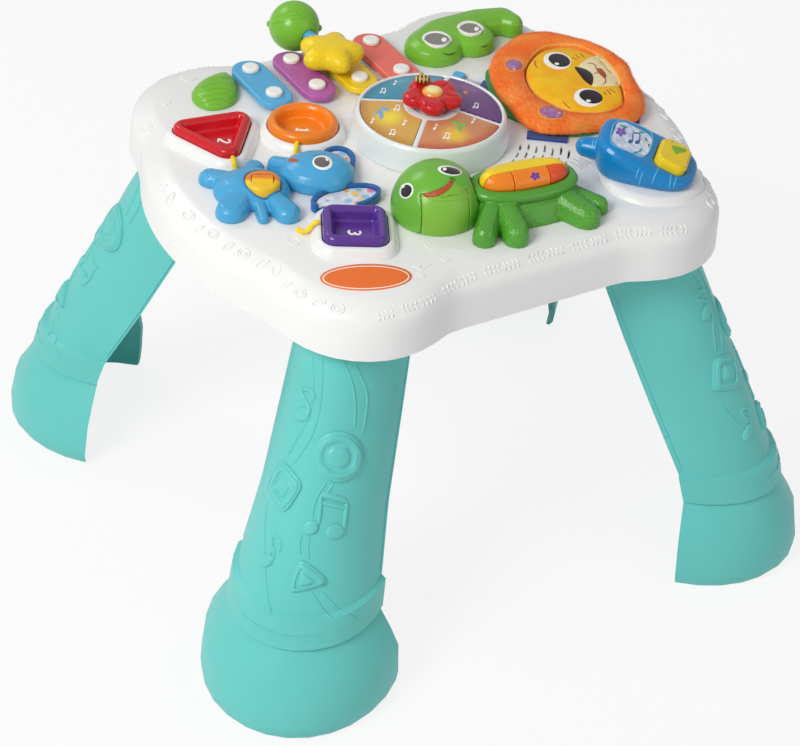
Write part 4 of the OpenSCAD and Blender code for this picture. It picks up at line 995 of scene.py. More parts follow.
# %% Leg reliefs
# Profile of a raised button as share of its outline and height, from the rim to the middle.
BUTTON_PROFILE = [(1, -0.4), (1, 1.2), (0.97, 1.7), (0.86, 1.8), (0.84, 2.6), (0.8, 2.9), (0.64, 2.9),
                  (0.61, 2.0), (0.42, 2.0), (0.38, 2.9), (0.33, 3.2), (0.06, 3.4)]
leg = Sheet(230, 355, 5.918)
on_leg = Surface("front_left_leg")
note_heads = [(430, 350, 48, 40, -30), (475, 1020, 50, 42, -25), (620, 1045, 58, 44, -20),
              (215, 1215, 42, 38, -30)]
note_stems = [([(474, 352), (462, 300), (432, 240), (420, 203)], 3.2),
              ([(420, 203), (468, 205), (496, 245), (482, 276)], 3.4),
              ([(540, 822), (532, 920), (520, 1012)], 3.4), ([(692, 862), (682, 950), (670, 1038)], 3.4),
              ([(540, 826), (616, 842), (696, 868)], 4.6), ([(536, 872), (610, 888), (690, 908)], 3.6),
              ([(252, 1128), (262, 1170), (250, 1222)], 2.8),
              ([(248, 1060), (286, 1090), (298, 1132), (292, 1168)], 3.0),
              ([(248, 1060), (250, 1120), (246, 1180)], 2.8)]
staves = [[(485, 0), (492, 150), (478, 300), (440, 420), (382, 520), (334, 608)],
          [(545, 0), (546, 150), (528, 330), (482, 480), (424, 575), (372, 650)],
          [(650, 0), (700, 100), (738, 250), (737, 440)], [(710, 0), (775, 130), (812, 260), (782, 470)],
          [(222, 870), (208, 950), (202, 1100), (212, 1330), (242, 1560)],
          [(572, 752), (520, 830), (494, 900), (488, 962)], [(612, 758), (580, 810), (562, 858)],
          [(422, 1060), (412, 1120), (416, 1180)], [(470, 1068), (462, 1130), (466, 1210)],
          [(480, 1402), (560, 1520), (604, 1562)], [(545, 1400), (640, 1505), (760, 1562)]]
relief = Carving()
relief.stamp(on_leg, leg.oval(640, 600, 150, 150, 0, 44), BUTTON_PROFILE)
relief.stamp(on_leg, leg.rounded([(440, 770), (310, 610), (222, 780), (320, 950)]), BUTTON_PROFILE)
relief.stamp(on_leg, leg.rounded([(410, 1190), (600, 1345), (335, 1420)], 0.28), BUTTON_PROFILE,
             leg(437, 1335))
for head in note_heads:
    relief.patch(on_leg, leg.oval(*head, 28), 1.1, 0.8)
for run, width in note_stems:
    relief.bead(on_leg, leg.run(run, 18), width, 1.3, taper=2)
relief.beads(on_leg, leg, staves, 44, 1.7, 0.75, taper=3)
print("relief of one leg:", len(relief.mesh.verts), "points")

# %% [markdown]
# A thin round trim follows both open edges of the leg down to the ankle. Level rays cast across the
# leg find those edges at every height, which is surer than a drawn line that has to flare with them.

# %% Leg trims
heading = Matrix.Rotation(math.radians(223.2), 3, "Z")
edge_knots = [(0, 238.5), (80, 233), (140, 200), (200, 170), (269, 137.5)]
TRIM_INSET, TRIM_LOW, TRIM_HIGH, TRIM_STEP = 3.2, 96, 262, 5


def edge_x(z):
    """How far out the open edge of the leg lies at height z."""
    (z0, x0), (z1, x1) = [(a, b) for a, b in zip(edge_knots, edge_knots[1:]) if a[0] <= z <= b[0]][0]
    return x0 + (x1 - x0) * (z - z0) / (z1 - z0)


for hand in (1, -1):
    rings = []
    for z in range(TRIM_LOW, TRIM_HIGH, TRIM_STEP):
        start = heading @ Vector(((edge_x(z) + TRIM_INSET) * MM, hand * 0.09, z * MM))
        found = on_leg.cast(start, heading @ Vector((0, -hand, 0)))
        if found:
            p, n = found
            across = n.cross(Vector((0, 0, 1))).normalized()
            rings.append(half_round(p, across, n, 1.6 * MM, 1.1 * MM, 0.4 * MM, 10))
    relief.rings(rings)
relief.repeat(*(Matrix.Rotation(math.radians(a), 4, "Z") for a in (-266.4, -180, -86.4)))
relief.make("leg_reliefs", finishes["leg_teal"], slot="leg_teal", flat_above=60)

# %% [markdown]
# The sloping shoulder of the deck is worked with low ornament: a fir-bone band along the long side,
# rings and leaves along the other, and a few loops on the level deck. Both bands are mirrored to the
# sides that lie away from the camera.

# %% Fir-bone band
on_shell = Surface("top_shell")
band = Sheet(400, 180, 5)
ground = Sheet(130, 70, 6)
BONE_REACH = (0.7, 2.0, 3.3, 4.6)
BONE_LEAN = 2.6
BONES_IN_GROUP = 5
spine_run = [(-120, 690), (0, 652), (130, 606), (310, 505), (430, 458), (570, 420), (730, 370), (880, 333),
             (1030, 290), (1180, 262), (1350, 255), (1460, 238)]


def along(path):
    """Spots of a run, each with the run's direction and the direction across it."""
    for a, b, c in zip(path, path[1:], path[2:]):
        du, dv = c[0] - a[0], c[1] - a[1]
        size = math.hypot(du, dv)
        yield b, (du / size, dv / size), (dv / size, -du / size)


bones = Carving()
for k, ((u, v), (tu, tv), (nu, nv)) in enumerate(along(band.run(spine_run, 74))):
    if k % BONES_IN_GROUP == BONES_IN_GROUP - 1:
        continue
    lean = BONE_LEAN if (k // BONES_IN_GROUP) % 2 else -BONE_LEAN
    for hand in (1, -1):
        bone = [(u + hand * nu * s + tu * lean * s / 4.6, v + hand * nv * s + tv * lean * s / 4.6)
                for s in BONE_REACH]
        bones.bead(on_shell, bone, 1.3, 0.8, sides=7)
print("bones of one side:", len(bones.mesh.verts), "points")


# %% Rings, leaves and loops
def ring_motif(carving, x, y, r):
    for share, width in ((1.0, 1.1), (0.58, 0.9)):
        carving.bead(on_shell, ground.oval(x, y, r * share, r * share * 0.86, 0, 20), width * 1.2, 0.75,
                     closed=True, sides=7)
    carving.patch(on_shell, ground.oval(x, y, r * 0.24, r * 0.2, 0, 12), 0.4, 0.2, steps=2)


def leaf_motif(carving, x, y, size, angle):
    outline = ((-1, 0), (-0.45, -0.34), (0.2, -0.36), (1, 0), (0.2, 0.3), (-0.45, 0.26))
    rib = spun(((-0.7, 0), (0.6, 0)), angle, size, size, x, y)
    carving.bead(on_shell, ground.run(spun(outline, angle, size, size, x, y), 22, True), 1.2, 0.75,
                 closed=True, sides=7)
    carving.bead(on_shell, ground.run(rib, 8), 0.8, 0.4, sides=7)


garden_rings = [(92, 345, 40), (352, 872, 36), (500, 985, 33), (682, 1100, 36), (1020, 1340, 36),
                (1245, 1432, 40)]
garden_leaves = [(192, 705, 34, -30), (246, 770, 42, -58), (418, 952, 36, -32), (590, 1060, 40, -28),
                 (795, 1165, 44, -25), (940, 1290, 36, -28), (1135, 1398, 44, -14)]
garden_loops = [[(868, 1150), (905, 1180), (880, 1235), (850, 1222), (862, 1180)],
                [(60, 420), (85, 405), (70, 440)], [(180, 190), (215, 212), (250, 190)],
                [(300, 40), (345, 70), (405, 45)]]
near_label = [[(885, 1028), (925, 1034), (960, 1004), (990, 1002), (1040, 1040)],
              [(930, 1010), (965, 1048), (1000, 1052), (1040, 1020)],
              [(1015, 1122), (1060, 1132), (1112, 1120)], [(1060, 1088), (1090, 1072), (1120, 1090)]]
near_turtle = [[(60, 425), (110, 447), (160, 416.2)], [(206, 396), (230, 405), (254, 392.4)],
               [(118, 318), (150, 345), (172, 352)], [(265, 348), (292, 352), (318, 350)],
               [(88, 462), (112, 482), (130, 470)], [(70, 430), (96, 440), (104, 412)]]
garden = Carving()
for spot in garden_rings:
    ring_motif(garden, *spot)
for spot in garden_leaves:
    leaf_motif(garden, *spot)
garden.beads(on_shell, ground, garden_loops, 18, 1.1, 0.5, sides=7)
bones.repeat(Matrix.Diagonal((1, -1, 1, 1)))
garden.repeat(Matrix.Diagonal((-1, 1, 1, 1)))
deck_loops = Carving().beads(on_shell, ground, near_label, 20, 1.1, 0.45, sides=7)
deck_loops.beads(on_shell, band, near_turtle[:2], 14, 1.1, 0.45, sides=7)
deck_loops.beads(on_shell, band, near_turtle[2:], 12, 1.1, 0.45, sides=7)
bones.make("shoulder_bones", finishes["housing_white"])
garden.make("shoulder_garden", finishes["housing_white"])
deck_loops.make("deck_loops", finishes["housing_white"])

# %% [markdown]
# The toy animals get their faces: silvered eyes with a white ring, a mouth, a printed cheek. Each
# face is drawn on an enlarged sheet and laid on the finished skins, a fraction of a millimetre proud,
# like pad print and small inserts. The elephant's trunk also gets thin darker blue lines in its
# grooves, which are painted shade.

# %% Animal finishes
print_a = Sheet(180, 0, 5.2267)
print_b = Sheet(380, 0, 4.6118)
dark_green = moulded("dark_green", "#27601c", 0.35, FINE)
iris_grey = moulded("iris_grey", "#6f6866", 0.22, FINE, coat=0.5, Metallic=0.2)
mouth_red = moulded("mouth_red", "#b5512a", 0.4, FINE)
# A darker blue: painted shade in the elephant's trunk grooves, and also the colour of the belly window's rim.
crease_blue = moulded("crease_blue", "#2b7db6", 0.4, FINE)
crease_phone = moulded("crease_phone", "#58b9ea", 0.3, FINE)
paint_white = moulded("paint_white", "#fdfcf8", 0.3, FINE)
print("inks for the faces: green, grey, red, white and two blues")


# %% Elephant's face
def eye_on(surface, sheet, name, outer, tilt, inner, shine, dark):
    """A white oval, a dark oval and a glint: each a separate thin insert."""
    white = Carving().patch(surface, sheet.oval(*outer, tilt, 36), 0.25, 0.3)
    white.make(name + "_white", white_gloss, slot="pin_white")
    pupil = Carving().patch(surface, sheet.oval(*inner, tilt, 32), 0.5, 0.35)
    pupil.make(name + "_dark", dark, slot="speaker_black")
    x, y, size = shine
    glint = Carving().patch(surface, sheet.oval(x, y, size, size * 0.8, 0, 14), 0.85, 0.1, steps=2)
    glint.make(name + "_glint", paint_white, slot="pin_white")


elephant_creases = [[(552, 792), (566, 800), (576, 794)], [(556, 806), (570, 814), (584, 806)],
                    [(700, 818), (730, 806), (765, 806)]]
on_elephant = Surface("elephant_head")
eye_on(on_elephant, print_a, "elephant_eye", (745, 850, 53, 38), 8, (741, 850, 41, 27), (768, 838, 8),
       iris_grey)
spots = Carving().patch(on_elephant, print_a.oval(592, 838, 27, 10, 4, 24), 0.25, 0.1)
spots.make("elephant_mouth", mouth_red, slot="orange_red")
# Painted shade: thin darker blue lines laid in the trunk's grooves.
creases = Carving().beads(on_elephant, print_a, elephant_creases, 10, 0.8, 0.25, sides=7)
creases.make("elephant_creases", crease_blue, slot="dark_blue")

# %% Turtle's face
cheek_outline = [(218, 912), (262, 898), (298, 878), (328, 842), (352, 848), (382, 866), (408, 892),
                 (404, 916), (330, 924), (262, 930)]
mouth_outline = [(198, 897), (240, 884), (285, 868), (314, 850), (331, 828), (337, 842), (322, 868),
                 (292, 892), (252, 908), (214, 910)]
upper_lip = [(186, 893), (215, 892), (262, 878), (300, 860), (322, 838), (336, 822)]
dimple = [(318, 822), (336, 822), (352, 834)]
on_turtle = Surface("turtle_head", "turtle_jaw")
eye_on(on_turtle, print_b, "turtle_eye_right", (323, 787, 57, 22), 10, (325, 789, 46, 16), (298, 783, 9),
       eye_black)
eye_on(on_turtle, print_b, "turtle_eye_left", (122, 880, 31, 38), 25, (123, 881, 24, 30), (108, 862, 8),
       eye_black)
cheek = Carving().patch(on_turtle, print_b.run(cheek_outline, 44, True), 0.4, 0.1)
cheek.make("turtle_cheek", finishes["light_green"], slot="light_green")
on_cheek = Surface("turtle_head", "turtle_jaw", "turtle_cheek")
mouth = Carving().patch(on_cheek, print_b.run(mouth_outline, 40, True), 0.65, 0.15)
mouth.make("turtle_mouth", mouth_red, slot="orange_red")
lips = Carving().bead(on_cheek, print_b.run(upper_lip, 26), 1.1, 0.5, taper=3)
lips.bead(on_cheek, print_b.run(dimple, 10), 0.9, 0.4)
lips.make("turtle_lips", dark_green, slot="turtle_green")

# %% Figure's face
on_figure = Surface("figure_body", "figure_eyes")
rims, glints, smiles = Carving(), Carving(), Carving()
for x, y, a, b in ((262, 182, 59, 34), (417, 131, 53, 30)):
    rims.bead(on_figure, print_b.oval(x, y, a, b, 4, 40), 3.4, 0.5, closed=True)
for x, y, size in ((296, 184, 12), (446, 134, 11)):
    glints.patch(on_figure, print_b.oval(x, y, size, size * 0.75, 0, 16), 0.5, 0.2, steps=2)
smiles.bead(on_figure, print_b.run([(284, 245), (312, 252), (334, 249), (352, 240)], 16), 1.1, 0.4, taper=4)
smiles.bead(on_figure, print_b.run([(462, 212), (478, 216), (498, 205)], 12), 1.1, 0.4, taper=4)
rims.make("figure_eye_rims", white_gloss, slot="pin_white")
glints.make("figure_glints", paint_white, slot="pin_white")
smiles.make("figure_smiles", dark_green, slot="light_green")

# %% [markdown]
# The elephant's roller shows through a window in its belly. The window's printed ring and the roller
# share one split of orange over yellow, so the roller seems to fill the window at rest and visibly
# breaks the pattern as it turns.

# %% Belly window
ROLLER = Vector((-0.143, -0.019, 0.3189))
along_roller = Vector((0.883, -0.469, 0)).normalized()
across_roller = Vector((0.469, 0.883, 0)).normalized()
WINDOW_R = 12.7
HOLE_HALF_L, HOLE_HALF_W, HOLE_POWER = 8.0, 6.25, 6
RIM_R = 13.1
# Profile of the window's plate as share of the way from its hole to its edge, and height.
window_profile = [(1.0, 319.5), (1.0, 324.6), (0.93, 325.6), (0.75, 326.4), (0.35, 326.9), (0.0, 327.0),
                  (0.0, 326.5), (0.35, 326.2), (0.75, 325.2), (0.9, 320)]


def split(name, upper, lower):
    """One colour over another, parted by a slightly wavy line along the roller's axle."""
    made = Finish(name, Coat_Weight=0.15, Specular_IOR_Level=0.36)
    spot = made.place(at=tuple(ROLLER))
    wavy = made.along(across_roller, tuple(ROLLER)) + made.noise(300, 2, 0.5, spot) * 0.0012
    cloud = made.noise(90, 2, 0.5, spot)
    top = made.mix(cloud, shade(upper, 0.9), shade(upper, 1.08))
    foot = made.mix(cloud, shade(lower, 0.92), shade(lower, 1.06))
    made.give(Base_Color=made.mix(made.step(wavy, -0.0024, -0.0004), foot, top),
              Roughness=0.26 + 0.06 * cloud, Normal=made.bump(made.noise(900, 1, 0.5, spot), 0.00002, 0.5))
    return made.material


def window_ring(share, z):
    """Ring between the window's rounded hole (0) and its edge (1) at height z."""
    ring, middle = [], Vector((ROLLER.x, ROLLER.y, z * MM))
    for t in circle(72):
        c, s = math.cos(t), math.sin(t)
        hole = (abs(c / HOLE_HALF_L) ** HOLE_POWER + abs(s / HOLE_HALF_W) ** HOLE_POWER) ** (-1 / HOLE_POWER)
        reach = hole + (WINDOW_R - hole) * share
        ring.append(middle + (along_roller * c + across_roller * s) * reach * MM)
    return ring


sun_split = split("sun_split", "#f28a1c", "#f5c62a")
nodes["belly_roller"].material_slots[0].material = sun_split
window = Carving().rings([window_ring(*row) for row in window_profile], closed_run=True)
window.make("belly_window", sun_split, slot="orange", flat_above=40)
on_belly = Surface("elephant_body", how="down", at=(-143, -19))
belly_rim = Carving().bead(on_belly, oval(0, 0, RIM_R, RIM_R, 0, 60), 1.3, 0.9, closed=True)
belly_rim.make("belly_rim", crease_blue, slot="dark_blue")
ear_print = dotted("ear_print", "#dfe4ee", ["#f2a25a", "#8fc3ea", "#ee8aa8", "#f5d36a"], 150, 0.5)
nodes["ear_inserts"].material_slots[0].material = ear_print

# %% [markdown]
# The turtle's limbs and the elephant's hands are knobbly to the touch. A cell pattern raises small
# scales only below the shell's rim, in the finish of those two bodies.

# %% Scaly skin
def scaly(name, colour, cell, depth, top):
    """Moulded plastic with patches of small scales below height `top`, their middles painted lighter as a
    highlight.
    """
    made = Finish(name, Coat_Weight=0.15, Coat_Roughness=0.08, Specular_IOR_Level=0.4)
    spot = made.place()
    cells = made.node("ShaderNodeTexVoronoi", {"feature": "SMOOTH_F1"},
                      {"Vector": spot, "Scale": cell, "Smoothness": 0.35}, "Distance")
    below = made.step(made.part(spot, "Z"), top - 0.001, top, 1.0, 0.0)
    patchy = below * made.step(made.noise(28, 2, 0.5, spot), 0.46, 0.54)
    tone = made.mix(made.noise(14, 3, 0.5, spot), shade(colour, 0.93), shade(colour, 1.07))
    # Painted highlight: the middles of the scales are painted lighter, as if lit on their tops.
    tone = made.mix(patchy * made.step(cells, 0.5, 0.2) * 0.35, tone, shade(colour, 1.5))
    made.give(Base_Color=tone, Roughness=0.27 + 0.06 * cells,
              Normal=made.bump((cells * -1.0) * patchy, depth, 0.9))
    return made.material


nodes["turtle_head"].material_slots[0].material = moulded("turtle_face", "#6db539", 0.26, coat=0.15)
nodes["turtle_body"].material_slots[0].material = scaly("turtle_skin", "#529e30", 420, 0.0007, 0.3262)
nodes["elephant_body"].material_slots[0].material = scaly("elephant_skin", "#49a7d8", 330, 0.0006, 0.3195)
print("scaly skin on the turtle's body and the elephant's")

# %% [markdown]
# The big leaf on the deck has soft ribs across it that run alongside one another. One rib is drawn and
# laid again at an even pitch, as each real one is the last one moved on.

# %% Leaf
FIRST_RIB, RIB_PITCH, RIBS = 402, 27, 6
rib_run = [(80, 34), (130, 14), (190, 0), (250, 4), (300, 24), (330, 44)]
leaf_ribs = [[(x, FIRST_RIB + RIB_PITCH * k + y) for x, y in rib_run] for k in range(RIBS)]
ribs = Carving().beads(Surface("leaf"), print_a, leaf_ribs, 26, 2.8, 0.8, taper=3)
ribs.make("leaf_ribs", finishes["leaf_green"], slot="leaf_green")

# %% [markdown]
# The dome's windows are tinted lenses. The glow of the lamp behind each is painted into its colour,
# brightest at the lamp's spot, and the tint is deep at the rim, with a band of glitter and small printed
# notes. An image texture could show that as well, but a colour that depends on the distance from the
# lamp's spot stays smooth at any size.

# %% Windows of the dome
DOME = (0.010, 0.008, 0.330)
# For each window: the spot of its lamp, and its colours at the lamp, around it and at the rim.
windows = {"window_amber": ((1095, 612), ("#f6dc3a", "#d9a750", "#b57a2c")),
           "window_red": ((1440, 705), ("#f4c838", "#d48b5c", "#b9442f")),
           "window_purple": ((1540, 455), ("#a2559f", "#672b7b", "#481a66")),
           "window_teal": ((1130, 412), ("#4fb6c6", "#2790ad", "#16698f"))}


def lens(name, middle, body, rim, lamp_at):
    made = Finish(name, Coat_Weight=0.35, Coat_Roughness=0.06, Specular_IOR_Level=0.4)
    near = made.distance(lamp_at)
    out = made.distance(DOME)
    cloud = made.noise(120, 3, 0.6)
    sparkle = made.step(made.noise(1300, 2, 0.6), 0.54, 0.64)
    # Painted glow: the light of the lamp behind the window is painted into the colour, brightest at its spot.
    tone = made.mix(made.step(near + cloud * 0.004, 0.003, 0.017), rgb(middle), rgb(body))
    edge = made.step(out + cloud * 0.003, 0.044, 0.055)
    tone = made.mix(edge, tone, rgb(rim))
    tone = made.mix(sparkle * (0.18 + 0.45 * edge), tone, shade(body, 1.7))
    made.give(Base_Color=tone, Roughness=0.16 + 0.1 * sparkle, Normal=made.bump(sparkle, 0.00004, 0.4))
    return made.material


for node, (lamp_spot, colours) in windows.items():
    found = Surface(node)(*print_a(*lamp_spot))
    lamp_at = tuple(found[0]) if found else DOME
    nodes[node].material_slots[0].material = lens(node + "_lens", *colours, lamp_at)
on_windows = Surface(*windows)
print("tinted windows:", len(windows))

# %% Printed shapes
leaf_print = ((-1, 0), (-0.4, -0.42), (0.3, -0.36), (1, 0), (0.3, 0.36), (-0.4, 0.42))


def note(carving, surface, sheet, x, y, size, pair=False, thick=0.7):
    """A printed note, or two notes under one beam."""
    def at(*spots):
        return [(x + size * p, y + size * q) for p, q in spots]

    def head(p, q):
        shape = sheet.oval(x + size * p, y + size * q, size * 0.3, size * 0.22, -20, 16)
        carving.patch(surface, shape, 0.12, 0.1, steps=2)

    def line(spots, count, width):
        carving.bead(surface, sheet.run(at(*spots), count), width, 0.15, sides=7)

    head(0, 0)
    line([(0.26, 0), (0.3, -1)], 8, thick)
    if pair:
        head(0.8, 0.08)
        line([(1.06, 0.08), (1.1, -0.92)], 8, thick)
        line([(0.28, -1), (1.12, -0.9)], 10, thick * 1.7)
    else:
        line([(0.3, -1), (0.62, -0.74), (0.6, -0.5)], 10, thick * 1.2)


def blossom(surface, sheet, x, y, size, petals=5):
    carving = Carving()
    for a in circle(petals):
        a += 0.4
        at_x, at_y = x + size * 0.58 * math.cos(a), y + size * 0.46 * math.sin(a)
        petal = sheet.oval(at_x, at_y, size * 0.4, size * 0.3, math.degrees(a), 16)
        carving.patch(surface, petal, 0.15, 0.1, steps=2)
    return carving


def star_shape(x, y, size, points=5, depth=0.45, flat=0.8):
    """Outline of a star: every other corner lies at `depth` of its size."""
    corners = [(size * (1 if k % 2 == 0 else depth), math.pi * k / points) for k in range(2 * points)]
    return [(x + r * math.sin(a), y - flat * r * math.cos(a)) for r, a in corners]


def printed_leaves(places, wide, high):
    carving = Carving()
    for x, y, angle in places:
        leaf_here = spun(leaf_print, angle, wide, high, x, y)
        carving.patch(on_windows, print_a.run(leaf_here, 24, True), 0.12, 0.1, steps=2)
    return carving


print("shapes to print: note, blossom, star and leaf")

# %% Window prints
tunes = [(1122, 572, 24, True), (1000, 640, 24, False), (1168, 650, 26, False), (1098, 700, 24, True),
         (1330, 672, 26, False), (1380, 720, 26, True), (1528, 640, 24, False), (1535, 560, 22, True),
         (1050, 482, 22, True), (1120, 440, 20, False)]
notes = Carving()
for tune in tunes:
    note(notes, on_windows, print_a, *tune)
notes.make("window_notes", paint_white, slot="pin_white")
blue_leaves = printed_leaves(((1040, 585, -30), (1072, 570, 25), (1052, 606, 100)), 26, 20)
blue_leaves.make("window_leaves_blue", moulded("ink_blue", "#7fb2dc", 0.3, FINE), slot="sky_blue")
green_leaves = printed_leaves(((1440, 640, 200), (1480, 650, -20), (1462, 672, 80)), 28, 20)
green_leaves.make("window_leaves_green", moulded("ink_green", "#86c25c", 0.3, FINE), slot="leaf_green")
star = Carving().patch(on_windows, [print_a(*p) for p in star_shape(1492, 482, 17)], 0.12, 0.1, steps=2)
star.make("window_star", moulded("ink_orange", "#f0913c", 0.3, FINE), slot="orange")

# %% [markdown]
# The flower button has creased petals, with dark red lines of painted shade laid in the creases,
# around a yellow eye painted pale at its tip as a highlight, and a striped bee sits on it. The stripes
# are a sine of the way along the bee, so they need no picture. The wings are thin closed lenses, for a
# single sheet would have no thickness.

# %% Flower and bee
EYE_TIP = (0.010, 0.008, 0.3487)
BEE_AT = (0.00865, 0.02095, 0.349)
BEE_LONG, BEE_WIDE = Vector((0.883, -0.469, 0)), Vector((0.469, 0.883, 0))
STRIPES = 2300
WING_ROOT = Vector((0.0087, 0.021, 0.3514))
WING_HALF_L, WING_HALF_W, WING_OUT, WING_BACK = 3.1, 1.9, 3.0, 0.6
wing_profile = [(0.5, -0.3), (0.92, -0.18), (1.0, 0), (0.92, 0.18), (0.5, 0.3)]
flower_runs = [[(1240, 500), (1215, 515), (1190, 522)], [(1290, 520), (1285, 550), (1290, 575)],
               [(1355, 515), (1375, 535), (1385, 552)], [(1380, 490), (1415, 497), (1445, 500)],
               [(1360, 455), (1385, 440), (1405, 428)]]
flower_eye = Finish("pearl_yellow", Coat_Weight=0.5, Coat_Roughness=0.05)
cloud = flower_eye.noise(200, 2, 0.5)
# Painted highlight: the eye is painted pale yellow at its tip, fading to orange around it.
tip_highlight = flower_eye.step(flower_eye.distance(EYE_TIP) + cloud * 0.001, 0.0035, 0.0085)
flower_eye.give(Base_Color=flower_eye.mix(tip_highlight, rgb("#fbf0a4"), rgb("#f0932c")), Roughness=0.14 + 0.05 * cloud)
nodes["flower_centre"].material_slots[0].material = flower_eye.material
bee_skin = Finish("bee_stripes", Coat_Weight=0.3)
bands = bee_skin.step((bee_skin.along(BEE_LONG, BEE_AT) * STRIPES).sum("SINE"), -0.1, 0.15)
fuzz = bee_skin.noise(2000, 2, 0.6)
bee_skin.give(Base_Color=bee_skin.mix(bands, rgb("#2a1a12"), rgb("#e8b53c")), Roughness=0.3 + 0.1 * fuzz,
              Normal=bee_skin.bump(fuzz, 0.00005, 0.5))
nodes["bee"].material_slots[0].material = bee_skin.material


def wing_ring(root, hand, share, lift):
    ring = []
    for t in circle(24):
        along_bee = WING_HALF_W * share * math.sin(t) - hand * WING_BACK
        spot = BEE_WIDE * WING_HALF_L * share * math.cos(t) + BEE_LONG * along_bee + Vector((0, 0, lift))
        ring.append(root + spot * MM)
    return ring


wings = Carving()
for hand in (1, -1):
    root = WING_ROOT + BEE_WIDE * hand * WING_OUT * MM
    wings.rings([wing_ring(root, hand, *row) for row in wing_profile])
wings.make("bee_wings", moulded("wing_smoke", "#b9a58e", 0.25, FINE), body="flower", slot="pin_white")
# Painted shade: thin dark red lines laid in the petals' creases.
petal_crease_shade = Carving().beads(Surface("flower_button"), print_a, flower_runs, 12, 1.2, 0.35, taper=4)
petal_crease_shade.make("flower_creases", moulded("deep_red", "#9c0f1a", 0.3, FINE), body="flower", slot="red")

# %% [markdown]
# Each big button has a white figure at the bottom of its bowl: one, two, three. They are drawn flat in
# millimetres and dropped straight down onto the bowl's floor.

# %% Numbers
FIGURE_SCALE, FIGURE_TURN = 0.85, -123
# For each button: its middle and the strokes of its figure.
figures = {
    "round": ((-75, 47), [[(-2.2, 3.2), (-0.2, 5.2), (0, 5)], [(0, 5), (0, 0), (0, -5)],
                          [(-2.2, -5), (0, -5), (2.2, -5)]]),
    "triangle": ((-134, 57), [[(-2.6, 2.6), (-1.6, 4.6), (0.6, 5), (2.6, 3), (1.6, 0), (-1, -3), (-2.8, -5)],
                              [(-2.8, -5), (0, -5), (2.8, -5)]]),
    "square": ((-105.5, -85.5), [[(-2.6, 3.8), (0, 5), (2.5, 3), (1.6, 0.8), (-0.2, 0.3)],
                                 [(-0.2, 0.3), (2.2, -0.5), (2.8, -2.8), (0, -5), (-2.8, -3.8)]])}
for key, (middle, strokes) in figures.items():
    bowl_floor = Surface(key + "_button", how="down", at=middle, turned=FIGURE_TURN)
    figure = Carving()
    for stroke in strokes:
        scaled = [(x * FIGURE_SCALE, y * FIGURE_SCALE) for x, y in stroke]
        figure.bead(bowl_floor, flow(scaled, 20), 1.7, 0.5)
    figure.make(key + "_number", paint_white, body=key + "_key", slot="pin_white")

# %% [markdown]
# Small parts finish the toy: the phone's printed screen and grooves, the mallet's leafy ball, the
# bare label's white border and the flower on the turtle's key. Nothing carries a name or a mark.

# %% Phone's screen
screen_leaf = ((-0.5, 0), (-0.1, -0.26), (0.4, -0.22), (1, 0), (0.4, 0.22), (-0.1, 0.26))
leaf_places = [(1130, 585, 26, 200), (1150, 580, 22, 250), (1185, 590, 24, 320), (1205, 610, 22, 10),
               (1225, 640, 20, 60), (1085, 660, 24, 100), (1110, 680, 26, 60), (1135, 695, 22, 20),
               (1175, 705, 24, 340), (1200, 695, 20, 300), (1240, 668, 16, 90), (1160, 562, 14, 270)]
border_run = [(1085, 566), (1130, 556), (1200, 580), (1250, 612), (1256, 655), (1232, 712), (1195, 716),
              (1120, 690), (1070, 662), (1068, 610)]
on_screen = Surface("phone_screen")
screen_paper = dotted("screen_print", "#cfd8ee", ["#e6eaf6", "#b9c6ea", "#dfe0f4"], 190, 0.45, 0.2)
nodes["phone_screen"].material_slots[0].material = screen_paper
leaves = Carving()
for x, y, size, angle in leaf_places:
    outline = spun(screen_leaf, angle, size, size * 0.8, x, y)
    leaves.patch(on_screen, print_b.run(outline, 18, True), 0.1, 0.05, steps=2)
leaves.make("screen_leaves", moulded("ink_teal", "#2aa08f", 0.3, FINE), slot="screen_blue")
bloom = blossom(on_screen, print_b, 1112, 608, 26)
bloom.make("screen_flower", moulded("ink_violet", "#7b57b5", 0.3, FINE), slot="purple")
tune = Carving()
note(tune, on_screen, print_b, 1155, 652, 40, True, 1.0)
tune.make("screen_notes", moulded("ink_slate", "#3c5f95", 0.3, FINE), slot="dark_blue")
border = Carving().bead(Surface("phone_body", "phone_screen"), print_b.run(border_run, 60, True), 1.1, 0.5,
                        closed=True)
border.make("screen_border", crease_phone, slot="phone_blue")

# %% Phone's body and key
grooves = [[(1196, 772), (1186, 800), (1180, 826)], [(1214, 790), (1202, 822), (1194, 856)],
           [(1292, 766), (1270, 806), (1252, 850)], [(1346, 792), (1338, 840), (1332, 884)],
           [(1376, 800), (1362, 836), (1352, 872)], [(1010, 622), (996, 655), (992, 690)],
           [(1000, 614), (984, 648), (980, 684)]]
receiver = [(1345, 672), (1372, 676), (1412, 690), (1406, 702), (1380, 704), (1368, 712), (1352, 694)]
ringing = [[(1330, 640), (1365, 630), (1405, 645)], [(1340, 655), (1370, 648), (1402, 662)]]
slants = Carving().beads(Surface("phone_body"), print_b, grooves, 14, 1.0, 0.35, taper=3)
slants.make("phone_grooves", crease_phone, slot="phone_blue")
on_call = Surface("call_button")
mark = Carving().patch(on_call, print_b.run(receiver, 30, True), 0.2, 0.1, steps=2)
mark.beads(on_call, print_b, ringing, 12, 0.7, 0.25, sides=7)
mark.make("call_mark", moulded("ink_leaf", "#7db72f", 0.3, FINE), body="phone_key", slot="leaf_green")

# %% [markdown]
# The mallet's ball is a green bud: a round nub stands out on either side and raised veins run over
# its top. The nubs are rings of a small sphere, and the veins are beads like those of the legs.

